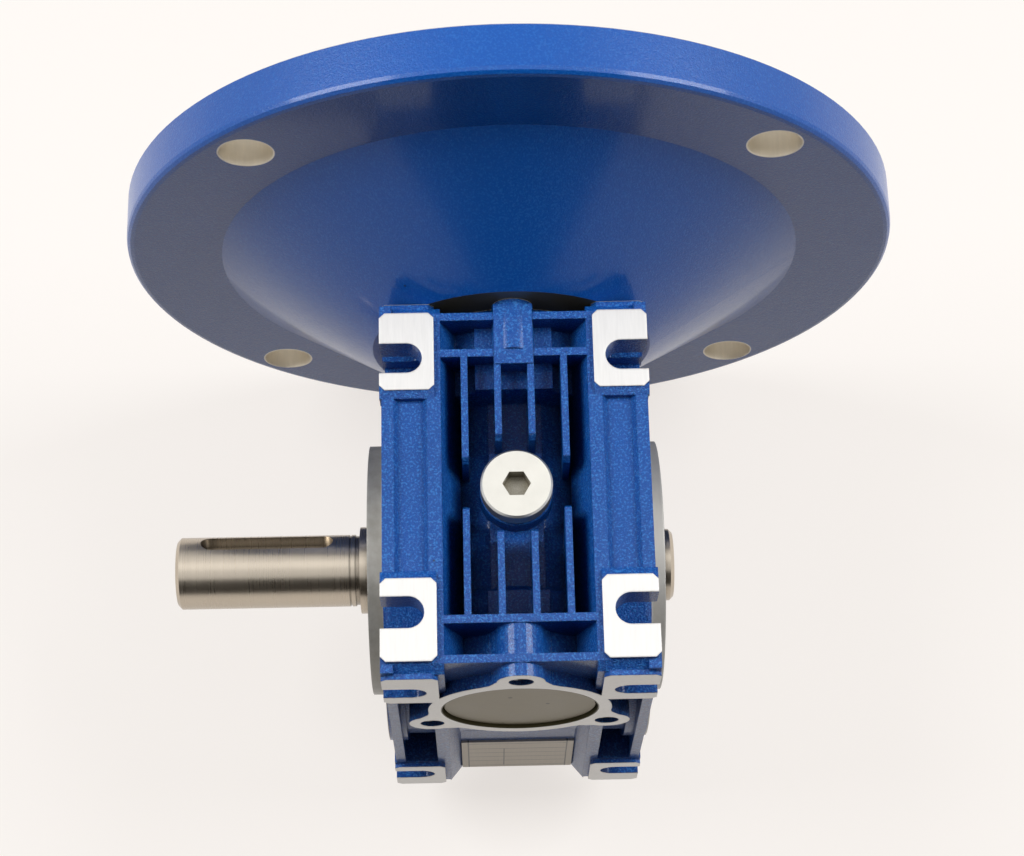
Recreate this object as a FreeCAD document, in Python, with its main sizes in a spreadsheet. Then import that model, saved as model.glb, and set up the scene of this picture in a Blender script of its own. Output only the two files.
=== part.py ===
import FreeCAD, Part
import math
import os
import re

import Sketcher
from FreeCAD import Placement, Rotation, Vector

# Worm gear reducer with one output shaft and a round motor flange.
# Millimetres. The origin is where the output axis crosses the middle of the casing.
# X runs along the output axis (the solid shaft points to -X), Y along the worm axis
# towards the motor flange, and Z up. The worm lies above the output axis.

doc = FreeCAD.newDocument("WormGearReducer")
sheet = doc.addObject("Spreadsheet::Sheet", "Sizes")

SIZES = [
    # gear pair
    ("centre_distance", 30.0, "output axis to worm axis"),
    ("module", 1.5, "axial module of the worm"),
    ("wheel_teeth", 30, "teeth of the worm wheel, for a worm with one start"),
    ("pressure_angle", 20.0, "flank angle of the worm thread in its axial section"),
    ("backlash", 0.74, "play of the thread in a tooth gap, along the pitch line"),
    ("rim_half_width", 6.0, "half the width of the bronze rim"),
    ("rim_outside", 24.6, "outer radius of the rim beside its throat"),
    ("rim_seat", 17.5, "radius where the rim sits on the hub"),
    ("tip_clearance", 0.3, "play between a tip and the root that it faces"),
    # casing
    ("body_half_length", 40.0, "output axis to either machined end face"),
    ("top_height", 57.0, "output axis to the machined top feet"),
    ("foot_depth", 40.0, "output axis to the machined bottom feet"),
    ("rail_outer", 27.1, "middle of the casing to the outer edge of a rail"),
    ("body_half_width", 27.5, "middle of the casing to the outer edge of a foot"),
    ("output_face", 28.0, "middle of the casing to the machined side faces"),
    ("pilot_reach", 31.5, "middle of the casing to the ends of the output pilots"),
    ("pilot_radius", 27.5, "radius of the output pilots"),
    ("side_boss_radius", 37.5, "radius of the round machined side faces"),
    ("chamber_outside", 36.0, "outer radius of the round gear chamber"),
    ("chamber_inside", 28.5, "inner radius of the gear chamber"),
    ("chamber_end", 12.3, "middle of the casing to the chamber's end walls"),
    ("pad_relief", 1.0, "height of the machined feet over the cast rails"),
    ("pad_inner", 16.3, "middle of the casing to the inner edge of a foot"),
    ("pad_start", 20.0, "output axis to the near edge of a top or bottom foot"),
    ("pad_margin", 3.0, "end face to the far edge of a top or bottom foot"),
    ("pad_thickness", 7.0, "wall under a foot, down to the bolt pocket"),
    ("pad_corner", 1.1, "cut corner of a machined foot"),
    ("pad_skirt", 1.6, "length of the slope from a foot down to its rail"),
    ("end_pad_top", 54.4, "upper edge of the upper end feet"),
    ("end_pad_rise", 36.5, "lower edge of the upper end feet"),
    ("end_pad_drop", 20.0, "depth of the upper edge of the lower end feet"),
    ("end_pad_bottom", 36.5, "depth of the lower edge of the lower end feet"),
    ("slot_pitch_long", 54.0, "foot slots, along the worm axis"),
    ("slot_pitch_cross", 44.0, "foot slots, along the output axis"),
    ("end_slot_up", 44.0, "height of the upper end slots"),
    ("end_slot_down", 27.0, "depth of the lower end slots"),
    ("slot_width", 6.5, "width of every foot slot"),
    ("pocket_floor", 17.6, "middle of the casing to the floor of a bolt pocket"),
    ("pocket_start", 12.0, "output axis to the near end of an upper bolt pocket"),
    ("channel_inner", 17.8, "inner side of the channels in the end faces"),
    ("channel_outer", 25.0, "outer side of the channels in the end faces"),
    ("panel_inner", 17.9, "inner edge of the sunk panels in the rails"),
    ("panel_outer", 24.6, "outer edge of the sunk panels in the rails"),
    ("panel_slope", 0.9, "width of a sunk panel's sloping walls"),
    ("panel_depth", 1.3, "depth of the sunk panels"),
    ("rail_inner", 15.2, "middle of the casing to the inner edge of a rail"),
    ("rail_bevel", 1.8, "bevel on the cross edges of the rails"),
    ("valley_floor_half", 11.4, "half the width of the top valley at its foot"),
    ("valley_foot", 46.0, "height of the foot of the valley's sloping walls"),
    ("wall_sink", 4.4, "end face to the wall that carries the plate"),
    ("core_lift", 1.5, "height of the belly over the bottom feet"),
    ("leg_slope", 2.7, "how far the inner sides of the legs lean in"),
    ("boss_rise", 0.3, "how far the long boss stands over the rails"),
    ("overlap", 0.5, "how far joined blocks reach into one another"),
    # ribs on the top
    ("rib_root", 5.0, "how far the ribs reach into the wall under them"),
    ("rib_width", 1.4, "thickness of the long ribs"),
    ("rib_outer_place", 10.2, "middle of the casing to an outer rib"),
    ("rib_inner_place", 3.4, "middle of the casing to an inner rib"),
    ("rib_outer_gap", 4.6, "half the gap in the outer ribs beside the plug"),
    ("rib_inner_gap", 9.5, "half the gap in the inner ribs beside the plug"),
    ("cross_rib_width", 1.7, "thickness of the cross ribs"),
    ("cross_rib_inset", 11.7, "end face to the inner cross ribs"),
    ("end_rib_inset", 3.6, "end face to the outer cross ribs"),
    ("rib_end_slope", 0.9, "slope on the free end of a long rib"),
    # worm tunnel
    ("tunnel_radius", 14.3, "bore round the worm between its bearings"),
    ("tunnel_outside", 17.0, "outer radius of the tunnel between the barrels"),
    ("rear_barrel", 18.8, "outer radius of the barrel round the rear bearing"),
    ("front_barrel", 21.5, "outer radius of the barrel round the input bearing"),
    ("barrel_length", 19.6, "end face to the near end of a barrel"),
    ("barrel_taper", 1.5, "length of the slope from the tunnel to a barrel"),
    ("lobe_radius", 4.8, "radius of the lobes round the rear face's threads"),
    ("front_lobe_radius", 4.3, "radius of the lobes round the threads for the flange"),
    ("lobe_length", 11.0, "length of the lobes"),
    ("web_root", 8.8, "half the width of a lobe's webs at the rear barrel"),
    ("web_waist", 6.3, "half their width halfway up"),
    ("web_root_sink", 2.4, "depth of the webs' roots under the barrel's crown"),
    ("web_waist_sink", 0.6, "depth of the webs' middles under the barrel's crown"),
    ("tunnel_crest", 5.5, "half the width of the flat crest on the tunnel"),
    ("rear_crest", 6.2, "half the width of the flat crest on the rear barrel"),
    ("front_crest", 8.0, "half the width of the flat crest on the front barrel"),
    ("rear_screw_circle", 42.0, "pitch circle of the threads in the rear face"),
    ("front_screw_circle", 45.0, "pitch circle of the threads for the flange"),
    ("tapped_radius", 2.5, "tapping size radius of the M6 threads"),
    ("rear_thread_depth", 10.0, "depth of the threads in the rear face"),
    ("front_thread_depth", 12.0, "depth of the threads for the flange screws"),
    ("bar_half_width", 4.0, "half the width of the long boss on the top"),
    ("bar_length", 14.3, "end face to the near end of the long boss"),
    # filler plug
    ("plug_boss_radius", 7.4, "radius of the boss under the filler plug"),
    ("plug_seat", 50.7, "height of the seat under the filler plug"),
    ("plug_head_radius", 7.3, "radius of the plug's head"),
    ("plug_head_height", 3.6, "height of the plug's head"),
    ("plug_head_chamfer", 0.4, "chamfer on the plug's head"),
    ("plug_thread_radius", 4.5, "radius of the plug's shank, at tapping size"),
    ("plug_thread_length", 5.2, "length of the plug's shank under its washer"),
    ("plug_socket", 5.0, "width across the flats of the plug's socket"),
    ("plug_socket_depth", 3.2, "depth of the plug's socket"),
    ("washer_thickness", 1.0, "thickness of the plug's sealing washer"),
    ("washer_radius", 6.9, "outer radius of the plug's sealing washer"),
    # output side
    ("output_journal", 12.5, "radius of the hollow shaft in its bearings"),
    ("hub_shoulder", 15.0, "radius of the hub's shoulders"),
    ("output_seat", 23.5, "bore for the output bearings and their seals"),
    ("output_bearing_start", 11.8, "middle of the casing to an output bearing"),
    ("output_bearing_width", 12.0, "width of an output bearing"),
    ("output_lip_bore", 21.4, "bore of the lip between bearing and seal"),
    ("output_lip", 1.0, "width of the lip between bearing and seal"),
    ("output_seal_width", 6.2, "width of an output seal"),
    ("seal_play", 0.06, "running play of a seal on its shaft, on the radius"),
    ("ring_wall", 3.4, "wall of an output bearing's rings"),
    ("small_ring_wall", 2.1, "wall of the input bearing's rings"),
    ("rear_ring_wall", 3.2, "wall of the rear bearing's rings"),
    ("side_screw_circle", 65.0, "pitch circle of the threads in the side faces"),
    ("side_thread_depth", 11.0, "depth of the threads in the side faces"),
    # side cover
    ("cover_seat", 23.0, "middle of the casing to the seat of the side cover"),
    ("cover_play", 0.2, "play round the side cover"),
    ("cover_tapped_radius", 2.7, "mean radius of the M6 threads on the cover's side"),
    ("spigot_start", 18.0, "middle of the casing to the end of the cover's spigot"),
    ("spigot_radius", 29.4, "radius of the cover's spigot"),
    ("spigot_play", 0.05, "play round the spigot"),
    ("cover_hub_play", 1.0, "play between the cover's hub and the chamber wall"),
    ("seal_ring_width", 1.6, "width and height of the cover's seal ring"),
    ("seal_ring_start", 20.0, "middle of the casing to the cover's seal ring"),
    ("cover_screw_radius", 2.1, "radius of a cover screw's shank"),
    ("cover_screw_head", 4.6, "radius of a cover screw's countersunk head"),
    ("cover_screw_length", 9.0, "length of a cover screw"),
    ("cover_screw_sink", 2.5, "height of a cover screw's countersunk head"),
    ("cover_screw_socket", 2.9, "width across the flats of a cover screw"),
    ("cover_socket_depth", 1.6, "depth of a cover screw's hexagon socket"),
    # output shaft
    ("output_bore", 7.95, "bore of the hollow output shaft"),
    ("shaft_play", 0.012, "play of the solid shaft in the hollow one, on the radius"),
    ("shaft_end", 74.4, "middle of the casing to the free end of the shaft"),
    ("shaft_stub", 35.0, "middle of the casing to the other end of the shaft"),
    ("collar_radius", 9.6, "radius of the shaft's collar"),
    ("collar_width", 2.5, "width of the shaft's collar"),
    ("relief_depth", 0.3, "depth of the two fine relief grooves"),
    ("relief_width", 1.1, "width of the relief beside the collar"),
    ("groove_start", 2.0, "collar to the fine groove"),
    ("groove_width", 0.4, "width of the fine groove"),
    ("shaft_chamfer", 0.8, "chamfer on the ends of the shaft"),
    ("keyway_width", 4.76, "width of the keyways and keys"),
    ("keyway_floor", 5.3, "output axis to the floor of the shaft's keyways"),
    ("keyway_far", 69.1, "middle of the casing to the far end of the keyway"),
    ("keyway_near", 40.0, "middle of the casing to the near end of the keyway"),
    ("key_half_length", 13.0, "half the length of the key inside the hub"),
    ("key_rise", 10.0, "output axis to the top of the hub's keyway"),
    ("key_play", 0.1, "play over the key in the hub"),
    ("key_angle", -40.0, "turn of the keyways about the output axis, from upright"),
    ("seam_angle", 22.5, "turn of the shaft's seam line, which keeps it clear of the keyways"),
    ("circlip_thickness", 1.0, "thickness of the output shaft's circlip"),
    ("circlip_groove", 7.3, "radius of the floor of the circlip's groove"),
    ("circlip_radius", 10.4, "outer radius of the output shaft's circlip"),
    # worm shaft
    ("rear_bore", 16.0, "bore for the rear bearing and the end cap"),
    ("rear_seat_depth", 15.6, "end face to the shoulder of the rear bearing"),
    ("rear_bearing_width", 10.0, "width of the rear bearing"),
    ("rear_journal", 6.0, "radius of the worm shaft in the rear bearing"),
    ("rear_shoulder", 7.6, "radius of the worm shaft's rear shoulder"),
    ("rear_shoulder_width", 3.0, "width of the worm shaft's rear shoulder"),
    ("front_bore", 18.5, "bore for the input bearing and the input seal"),
    ("front_seat_depth", 16.4, "end face to the shoulder of the input bearing"),
    ("front_bearing_width", 7.0, "width of the input bearing"),
    ("front_journal", 12.5, "radius of the hollow end of the worm shaft"),
    ("front_shoulder", 13.4, "radius of the worm shaft's front shoulder"),
    ("front_shoulder_width", 3.0, "width of the worm shaft's front shoulder"),
    ("retainer_thickness", 1.2, "thickness of the circlips in the casing"),
    ("retainer_bite", 0.8, "depth of those circlips' grooves"),
    ("retainer_height", 2.4, "radial height of the circlips in the casing"),
    ("retainer_play", 0.1, "play between a bearing and its circlip"),
    ("input_seal_width", 6.8, "width of the input seal"),
    ("cap_sink", 0.7, "how far the end cap lies under the rear face"),
    ("cap_thickness", 3.0, "thickness of the end cap"),
    ("cap_chamfer", 0.6, "chamfer round the end cap"),
    ("seal_sink", 0.4, "how far the input seal lies under the front face"),
    ("thread_half_length", 13.0, "half the length of the worm thread"),
    ("rear_runout", 4.0, "plain root behind the worm thread"),
    ("front_runout", 2.0, "plain root before the worm thread"),
    ("quill_end", 49.5, "output axis to the mouth of the input bore"),
    ("input_bore", 7.95, "bore for the motor shaft"),
    ("input_bore_floor", 18.5, "output axis to the floor of the input bore"),
    ("input_keyway_rise", 10.2, "worm axis to the top of the input keyway"),
    ("journal_chamfer", 0.8, "chamfer on the ends of the worm shaft"),
    # motor flange
    ("flange_radius", 83.1, "outer radius of the motor flange"),
    ("flange_back", 71.8, "output axis to the motor's mounting face"),
    ("flange_front", 61.0, "output axis to the front of the flange's rim"),
    ("flange_edge", 1.6, "rounding on the front edge of the rim"),
    ("flange_back_edge", 0.4, "chamfer on the back edge of the rim"),
    ("flange_cone_radius", 62.7, "radius where the cone meets the rim"),
    ("neck_radius", 30.0, "radius of the cone at the casing"),
    ("neck_bore", 14.2, "bore of the neck round the worm shaft"),
    ("neck_plate", 6.5, "thickness of the neck's end wall"),
    ("neck_inside", 30.6, "inner radius of the cone at its end wall"),
    ("motor_pilot", 57.15, "radius of the recess for the motor's spigot"),
    ("motor_pilot_depth", 4.8, "depth of the recess for the motor's spigot"),
    ("shelf_radius", 52.0, "inner radius of the shelf behind the recess"),
    ("shelf_depth", 11.7, "depth of the straight wall below the recess"),
    ("motor_bolt_inset", 8.5, "rim of the flange to the pitch circle of the motor bolts"),
    ("motor_bolt_radius", 5.5, "radius of the motor bolt holes"),
    ("flange_screw_play", 0.4, "play round the flange screws"),
    ("flange_screw_head", 5.0, "radius of a flange screw's head"),
    ("flange_screw_head_height", 6.0, "height of a flange screw's head"),
    ("flange_screw_bite", 10.0, "length of a flange screw in the casing"),
    ("flange_screw_socket", 5.0, "width across the flats of a flange screw"),
    # plate
    ("plate_width", 25.0, "width of the plate on the rear wall"),
    ("plate_height", 23.6, "height of the plate on the rear wall"),
    ("plate_thickness", 0.5, "thickness of the plate"),
    ("plate_rise", 0.8, "height of the plate over the belly's edge"),
]

for row, (alias, value, meaning) in enumerate(SIZES, start=1):
    sheet.set(f"A{row}", alias)
    sheet.set(f"B{row}", str(value))
    sheet.setAlias(f"B{row}", alias)
    sheet.set(f"C{row}", meaning)
doc.recompute()

ALIASES = {alias for alias, value, meaning in SIZES}
TO_AXIS = {
    "x": Rotation(Vector(0, 1, 0), 90),
    "y": Rotation(Vector(1, 0, 0), -90),
    "z": Rotation(),
}
WORM_HEIGHT = "centre_distance"
PAST = "1"
CORE_END = "(body_half_length - wall_sink)"
BARREL_START = "(body_half_length - barrel_length)"
CROSS_RIB_NEAR = "(body_half_length - cross_rib_inset)"
CROSS_RIB_FAR = "(body_half_length - end_rib_inset)"
REAR_SEAT = "(body_half_length - rear_seat_depth)"
FRONT_SEAT = "(body_half_length - front_seat_depth)"


def bound(text):
    """An expression on the sheet's sizes, with the sheet's name put before each one."""
    return re.sub(r"[a-z_]+", lambda word: "Sizes." * (word[0] in ALIASES) + word[0], text)


def bind(item, prop, text):
    item.setExpression(prop, bound(text))


def minus(text):
    return f"-({text})"


def span(sign, low, high):
    """The pair of stations low and high, or their mirror image for a negative sign."""
    return (low, high) if sign > 0 else (minus(high), minus(low))


def box(name, x, y, z):
    block = doc.addObject("Part::Box", name)
    for side, axis, (low, high) in (("Length", "x", x), ("Width", "y", y), ("Height", "z", z)):
        bind(block, side, f"({high}) - ({low})")
        bind(block, f"Placement.Base.{axis}", low)
    return block


def rod(name, axis, radius, stations, centre=("0", "0")):
    """A cylinder along an axis; centre holds its place on the other two, in order."""
    piece = doc.addObject("Part::Cylinder", name)
    piece.Placement = Placement(Vector(), TO_AXIS[axis])
    low, high = stations
    bind(piece, "Radius", radius)
    bind(piece, "Height", f"({high}) - ({low})")
    place = dict(zip([letter for letter in "xyz" if letter != axis], centre))
    place[axis] = low
    for letter, text in place.items():
        bind(piece, f"Placement.Base.{letter}", text)
    return piece


def cone(name, axis, radii, stations, centre=("0", "0")):
    piece = doc.addObject("Part::Cone", name)
    piece.Placement = Placement(Vector(), TO_AXIS[axis])
    low, high = stations
    bind(piece, "Radius1", radii[0])
    bind(piece, "Radius2", radii[1])
    bind(piece, "Height", f"({high}) - ({low})")
    place = dict(zip([letter for letter in "xyz" if letter != axis], centre))
    place[axis] = low
    for letter, text in place.items():
        bind(piece, f"Placement.Base.{letter}", text)
    return piece


def hexagon(name, flats, stations, axis, centre=("0", "0")):
    """A hexagonal prism, given by its width across the flats."""
    prism = doc.addObject("Part::Prism", name)
    prism.Placement = Placement(Vector(), TO_AXIS[axis])
    prism.Polygon = 6
    low, high = stations
    bind(prism, "Circumradius", f"({flats}) / sqrt(3)")
    bind(prism, "Height", f"({high}) - ({low})")
    place = dict(zip([letter for letter in "xyz" if letter != axis], centre))
    place[axis] = low
    for letter, text in place.items():
        bind(prism, f"Placement.Base.{letter}", text)
    return prism


def fuse(name, pieces):
    joined = doc.addObject("Part::MultiFuse", name)
    joined.Shapes = pieces
    joined.Refine = True
    return joined


def cut(name, base, tools):
    result = doc.addObject("Part::Cut", name)
    result.Base = base
    result.Tool = tools[0] if len(tools) == 1 else fuse(name + "_tools", tools)
    result.Refine = True
    return result


def outline(owner, name, points):
    """A closed polygon whose corners are held by expressions."""
    sketch = owner.newObject("Sketcher::SketchObject", name) if owner else None
    sketch = sketch or doc.addObject("Sketcher::SketchObject", name)
    count = len(points)
    corners = [
        Vector(math.cos(2 * math.pi * k / count), math.sin(2 * math.pi * k / count), 0)
        for k in range(count)
    ]
    for k in range(count):
        sketch.addGeometry(Part.LineSegment(corners[k], corners[(k + 1) % count]))
    for k in range(count):
        sketch.addConstraint(Sketcher.Constraint("Coincident", k, 2, (k + 1) % count, 1))
    for k, (across, along) in enumerate(points):
        for kind, text, start in (("DistanceX", across, corners[k].x), ("DistanceY", along, corners[k].y)):
            index = sketch.addConstraint(Sketcher.Constraint(kind, -1, 1, k, 1, start))
            sketch.setExpression(f"Constraints[{index}]", bound(text))
    return sketch


def origin_plane(body, role):
    return next(item for item in body.Origin.OriginFeatures if item.Role == role)


def turned(label, axis, points):
    """A turned piece about the output axis ("x") or the worm axis ("y").

    The points are pairs of radius and station along the axis.
    """
    body = doc.addObject("PartDesign::Body", label)
    corners = [(station, radius) if axis == "x" else (radius, station) for radius, station in points]
    sketch = outline(body, label + "_profile", corners)
    sketch.AttachmentSupport = [(origin_plane(body, "XY_Plane"), "")]
    sketch.MapMode = "FlatFace"
    revolution = body.newObject("PartDesign::Revolution", label + "_turn")
    revolution.Profile = sketch
    revolution.ReferenceAxis = (sketch, ["H_Axis" if axis == "x" else "V_Axis"])
    revolution.Angle = 360
    body.Tip = revolution
    if axis == "y":
        bind(body, "Placement.Base.z", WORM_HEIGHT)
    return body


def ring(label, axis, inner, outer, stations):
    low, high = stations
    return turned(label, axis, [(inner, low), (outer, low), (outer, high), (inner, high)])


def prism_along(name, points, plane, stations):
    """A sketched polygon in the "xz", "xy" or "yz" plane, drawn out along its normal."""
    sketch = outline(None, name + "_outline", points)
    low, high = stations
    turns = {
        "xy": ("z", Rotation()),
        "xz": ("y", Rotation(Vector(1, 0, 0), 90)),
        "yz": ("x", Rotation(Vector(1, 1, 1), 120)),
    }
    letter, turn = turns[plane]
    sketch.Placement = Placement(Vector(), turn)
    bind(sketch, f"Placement.Base.{letter}", low)
    body = doc.addObject("Part::Extrusion", name)
    body.Base = sketch
    body.DirMode = "Custom"
    body.Dir = Vector(*(float(letter == other) for other in "xyz"))
    body.Solid = True
    bind(body, "LengthFwd", f"({high}) - ({low})")
    return body


def label(piece, name):
    piece.Label = name
    parts.append(piece)
    return piece


parts = []
BOTH = (1, -1)


def lobe_places(circle):
    """Three threads on a circle about the worm axis, one of them on top."""
    across = f"{circle} / 2 * cos(30 deg)"
    low = f"{WORM_HEIGHT} - {circle} / 4"
    return [("0", f"{WORM_HEIGHT} + {circle} / 2"), (across, low), (minus(across), low)]


def square_places(circle):
    """Four threads on a circle about the output axis, on the vertical and the horizontal."""
    reach = f"{circle} / 2"
    return [("0", reach), ("0", minus(reach)), (reach, "0"), (minus(reach), "0")]


def diagonal_places(circle):
    reach = f"{circle} / 2 * sqrt(0.5)"
    return [(y, z) for y in (reach, minus(reach)) for z in (reach, minus(reach))]


# Casing, step one: the two side frames and the core between them.

RAIL_END = "body_half_length - pad_relief"
RAIL_TOP = "top_height - pad_relief"
RAIL_BOTTOM = "foot_depth - pad_relief"
BELLY = "foot_depth - core_lift"


def side_frames():
    pieces = [
        box("side_frame", span(side, "rail_inner - 0.2", "rail_outer"),
            (minus(RAIL_END), RAIL_END), (minus(RAIL_BOTTOM), RAIL_TOP))
        for side in BOTH
    ]
    pieces.append(box("core", ("-rail_inner", "rail_inner"), (minus(CORE_END), CORE_END),
                      (minus(BELLY), f"{WORM_HEIGHT} + 2")))
    return fuse("frames", pieces)


def frame_hollows():
    """Channels in the end faces, sunk panels in the rails and open bolt pockets."""
    tools = []
    for side in BOTH:
        channel = span(side, "channel_inner", "channel_outer")
        panel = span(side, "panel_inner", "panel_outer")
        pocket = span(side, "pocket_floor", f"body_half_width + {PAST}")
        for end in BOTH:
            tools.append(box("channel", channel, span(end, "pad_start", f"body_half_length + {PAST}"),
                             ("-end_pad_drop + pad_relief", "end_pad_rise - pad_relief")))
            tools.append(box("upper_pocket", pocket, span(end, "pocket_start", "body_half_length - pad_thickness"),
                             ("end_pad_rise + overlap", "top_height - pad_thickness")))
            tools.append(box("lower_pocket", pocket, span(end, "pad_start", "body_half_length - pad_thickness"),
                             ("-foot_depth + pad_thickness", "-end_pad_drop - pad_relief")))
        run = ("-pad_start + pad_skirt", "pad_start - pad_skirt")
        inner, outer = panel
        floor_inner, floor_outer = f"{inner} + panel_slope", f"{outer} - panel_slope"
        for level, deep, out in ((RAIL_TOP, f"{RAIL_TOP} - panel_depth", f"top_height + {PAST}"),
                                 (minus(RAIL_BOTTOM), f"{minus(RAIL_BOTTOM)} + panel_depth",
                                  f"-foot_depth - {PAST}")):
            tools.append(prism_along("panel", [
                (inner, out), (inner, level), (floor_inner, deep),
                (floor_outer, deep), (outer, level), (outer, out),
            ], "xz", run))
    return tools


def frame_bevels():
    """Bevels on the four edges of the frames that run across."""
    tools = []
    for end in BOTH:
        for up, level in ((1, RAIL_TOP), (-1, RAIL_BOTTOM)):
            def corner(back, drop):
                y = f"{RAIL_END} - ({back})"
                z = f"{level} - ({drop})"
                return (y if end > 0 else minus(y), z if up > 0 else minus(z))
            points = [corner("rail_bevel", minus(PAST)), corner(minus(PAST), minus(PAST)),
                      corner(minus(PAST), "rail_bevel"), corner("0", "rail_bevel"), corner("rail_bevel", "0")]
            if end * up < 0:
                points.reverse()
            tools.append(prism_along("bevel", points, "yz",
                                     ("-body_half_width - 2", "body_half_width + 2")))
    return tools


# Casing, step two: feet, barrels, bosses and ribs.

def clipped(across, along):
    """The corners of a rectangle whose own corners are cut off."""
    left, right = (f"({text})" for text in across)
    near, far = (f"({text})" for text in along)
    return [
        (f"{left} + pad_corner", near), (f"{right} - pad_corner", near),
        (right, f"{near} + pad_corner"), (right, f"{far} - pad_corner"),
        (f"{right} - pad_corner", far), (f"{left} + pad_corner", far),
        (left, f"{far} - pad_corner"), (left, f"{near} + pad_corner"),
    ]


def feet():
    """Machined feet, each on a block that stands out beside its rail."""
    pieces = []
    low, high = "pad_start - pad_skirt / 2", "body_half_length - pad_margin + pad_relief / 2"
    for side in BOTH:
        across = span(side, "pad_inner", "body_half_width")
        block = span(side, "channel_outer", "body_half_width")
        for end in BOTH:
            along = span(end, "pad_start", "body_half_length - pad_margin")
            face = span(end, "body_half_length - 2 * pad_relief", "body_half_length")
            back = span(end, "body_half_length - pad_thickness + 0.2", RAIL_END)
            for up, level, rail in ((1, "top_height", RAIL_TOP), (-1, "foot_depth", RAIL_BOTTOM)):
                pieces.append(prism_along("foot", clipped(across, along), "xy",
                                          span(up, f"{level} - 2 * pad_relief", level)))
                pieces.append(box("foot_block", block, span(end, low, high),
                                  span(up, f"{level} - pad_thickness + 0.2", rail)))
                pieces.append(foot_skirt(across, end, up, level))
            for heights, room in (
                (("end_pad_rise", "end_pad_top"), ("end_pad_rise - pad_skirt / 2", RAIL_TOP)),
                (("-end_pad_bottom", "-end_pad_drop"), (minus(RAIL_BOTTOM), "-end_pad_drop + pad_skirt / 2")),
            ):
                pieces.append(prism_along("end_foot", clipped(across, heights), "xz", face))
                pieces.append(box("end_foot_block", block, back, room))
    return pieces


def foot_skirt(across, end, up, level):
    """The slope from a top or bottom foot down to its rail."""
    near, edge, high = "pad_start - pad_skirt", "pad_start", f"{level} - pad_relief / 4"
    corners = [(near, f"{level} - pad_relief"), (edge, high), (f"{edge} + 1", high),
               (f"{edge} + 1", f"{level} - 2 * pad_relief"), (near, f"{level} - 2 * pad_relief")]
    points = [(y if end > 0 else minus(y), z if up > 0 else minus(z)) for y, z in corners]
    return prism_along("foot_skirt", points, "yz", across)


def barrels():
    """The worm tunnel with a barrel at each end, and the round gear chamber."""
    height = ("0", WORM_HEIGHT)
    pieces = [
        rod("tunnel_skin", "y", "tunnel_outside", (minus(BARREL_START), BARREL_START), height),
        rod("rear_barrel", "y", "rear_barrel", ("-body_half_length", minus(BARREL_START)), height),
        rod("front_barrel", "y", "front_barrel", (f"{BARREL_START} + barrel_taper", "body_half_length"), height),
        cone("rear_slope", "y", ("tunnel_outside", "rear_barrel"), ("0", "barrel_taper"), height),
        cone("front_slope", "y", ("tunnel_outside", "front_barrel"),
             (BARREL_START, f"{BARREL_START} + barrel_taper"), height),
        rod("chamber_skin", "x", "chamber_outside", ("-channel_outer", "cover_seat")),
        rod("left_boss", "x", "side_boss_radius", ("-output_face", "-channel_outer + 1")),
        rod("left_pilot", "x", "pilot_radius", ("-pilot_reach", "-output_face + 1")),
        box("tunnel_crest", ("-tunnel_crest", "tunnel_crest"), (minus(BARREL_START), BARREL_START),
            (f"{WORM_HEIGHT} + tunnel_radius", f"{WORM_HEIGHT} + tunnel_outside")),
        box("rear_crest", ("-rear_crest", "rear_crest"), (minus(RAIL_END), minus(BARREL_START)),
            (f"{WORM_HEIGHT} + rear_bore + retainer_bite", f"{WORM_HEIGHT} + rear_barrel")),
        box("front_crest", ("-front_crest", "front_crest"), (f"{BARREL_START} + barrel_taper", RAIL_END),
            (f"{WORM_HEIGHT} + front_bore + retainer_bite", f"{WORM_HEIGHT} + front_barrel")),
    ]
    slope = pieces[3]
    slope.Placement = Placement(Vector(), Rotation(Vector(1, 0, 0), 90))
    bind(slope, "Placement.Base.y", f"{minus(BARREL_START)} + barrel_taper")
    bind(slope, "Placement.Base.z", WORM_HEIGHT)
    return pieces


def lobes():
    pieces = []
    for end, circle, radius in ((-1, "rear_screw_circle", "lobe_radius"),
                                (1, "front_screw_circle", "front_lobe_radius")):
        run = span(end, "body_half_length - lobe_length", "body_half_length")
        for x, z in lobe_places(circle):
            pieces.append(rod("lobe", "y", radius, run, (x, z)))
    for turn in ("0", "120", "240"):
        pieces.append(lobe_web(turn))
    pieces.append(box("long_boss", ("-bar_half_width", "bar_half_width"),
                      ("body_half_length - bar_length", RAIL_END),
                      (f"{WORM_HEIGHT} + tunnel_radius", f"{RAIL_TOP} + boss_rise")))
    return pieces


def lobe_web(turn):
    """The web that blends a lobe of the rear face into its barrel."""
    slope = [("web_root", "rear_barrel - web_root_sink"), ("web_waist", "rear_barrel - web_waist_sink"),
             ("lobe_radius", "rear_screw_circle / 2")]
    corners = slope + [(minus(across), out) for across, out in reversed(slope)]
    sine, cosine = f"sin({turn} deg)", f"cos({turn} deg)"
    points = [(f"({out}) * {sine} + ({across}) * {cosine}",
               f"{WORM_HEIGHT} + ({out}) * {cosine} - ({across}) * {sine}") for across, out in corners]
    return prism_along("lobe_web", points, "xz", ("-body_half_length", "-body_half_length + lobe_length"))


def long_rib(side, end, place, gap):
    across = span(side, f"{place} - rib_width / 2", f"{place} + rib_width / 2")
    root = f"{WORM_HEIGHT} + tunnel_radius - rib_root"
    corners = [(gap, root), (gap, f"{RAIL_TOP} - 2 * rib_end_slope"),
               (f"{gap} + rib_end_slope", RAIL_TOP), (CROSS_RIB_NEAR, RAIL_TOP), (CROSS_RIB_NEAR, root)]
    points = [(y if end > 0 else minus(y), z) for y, z in corners]
    return prism_along("long_rib", points, "yz", across)


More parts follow.
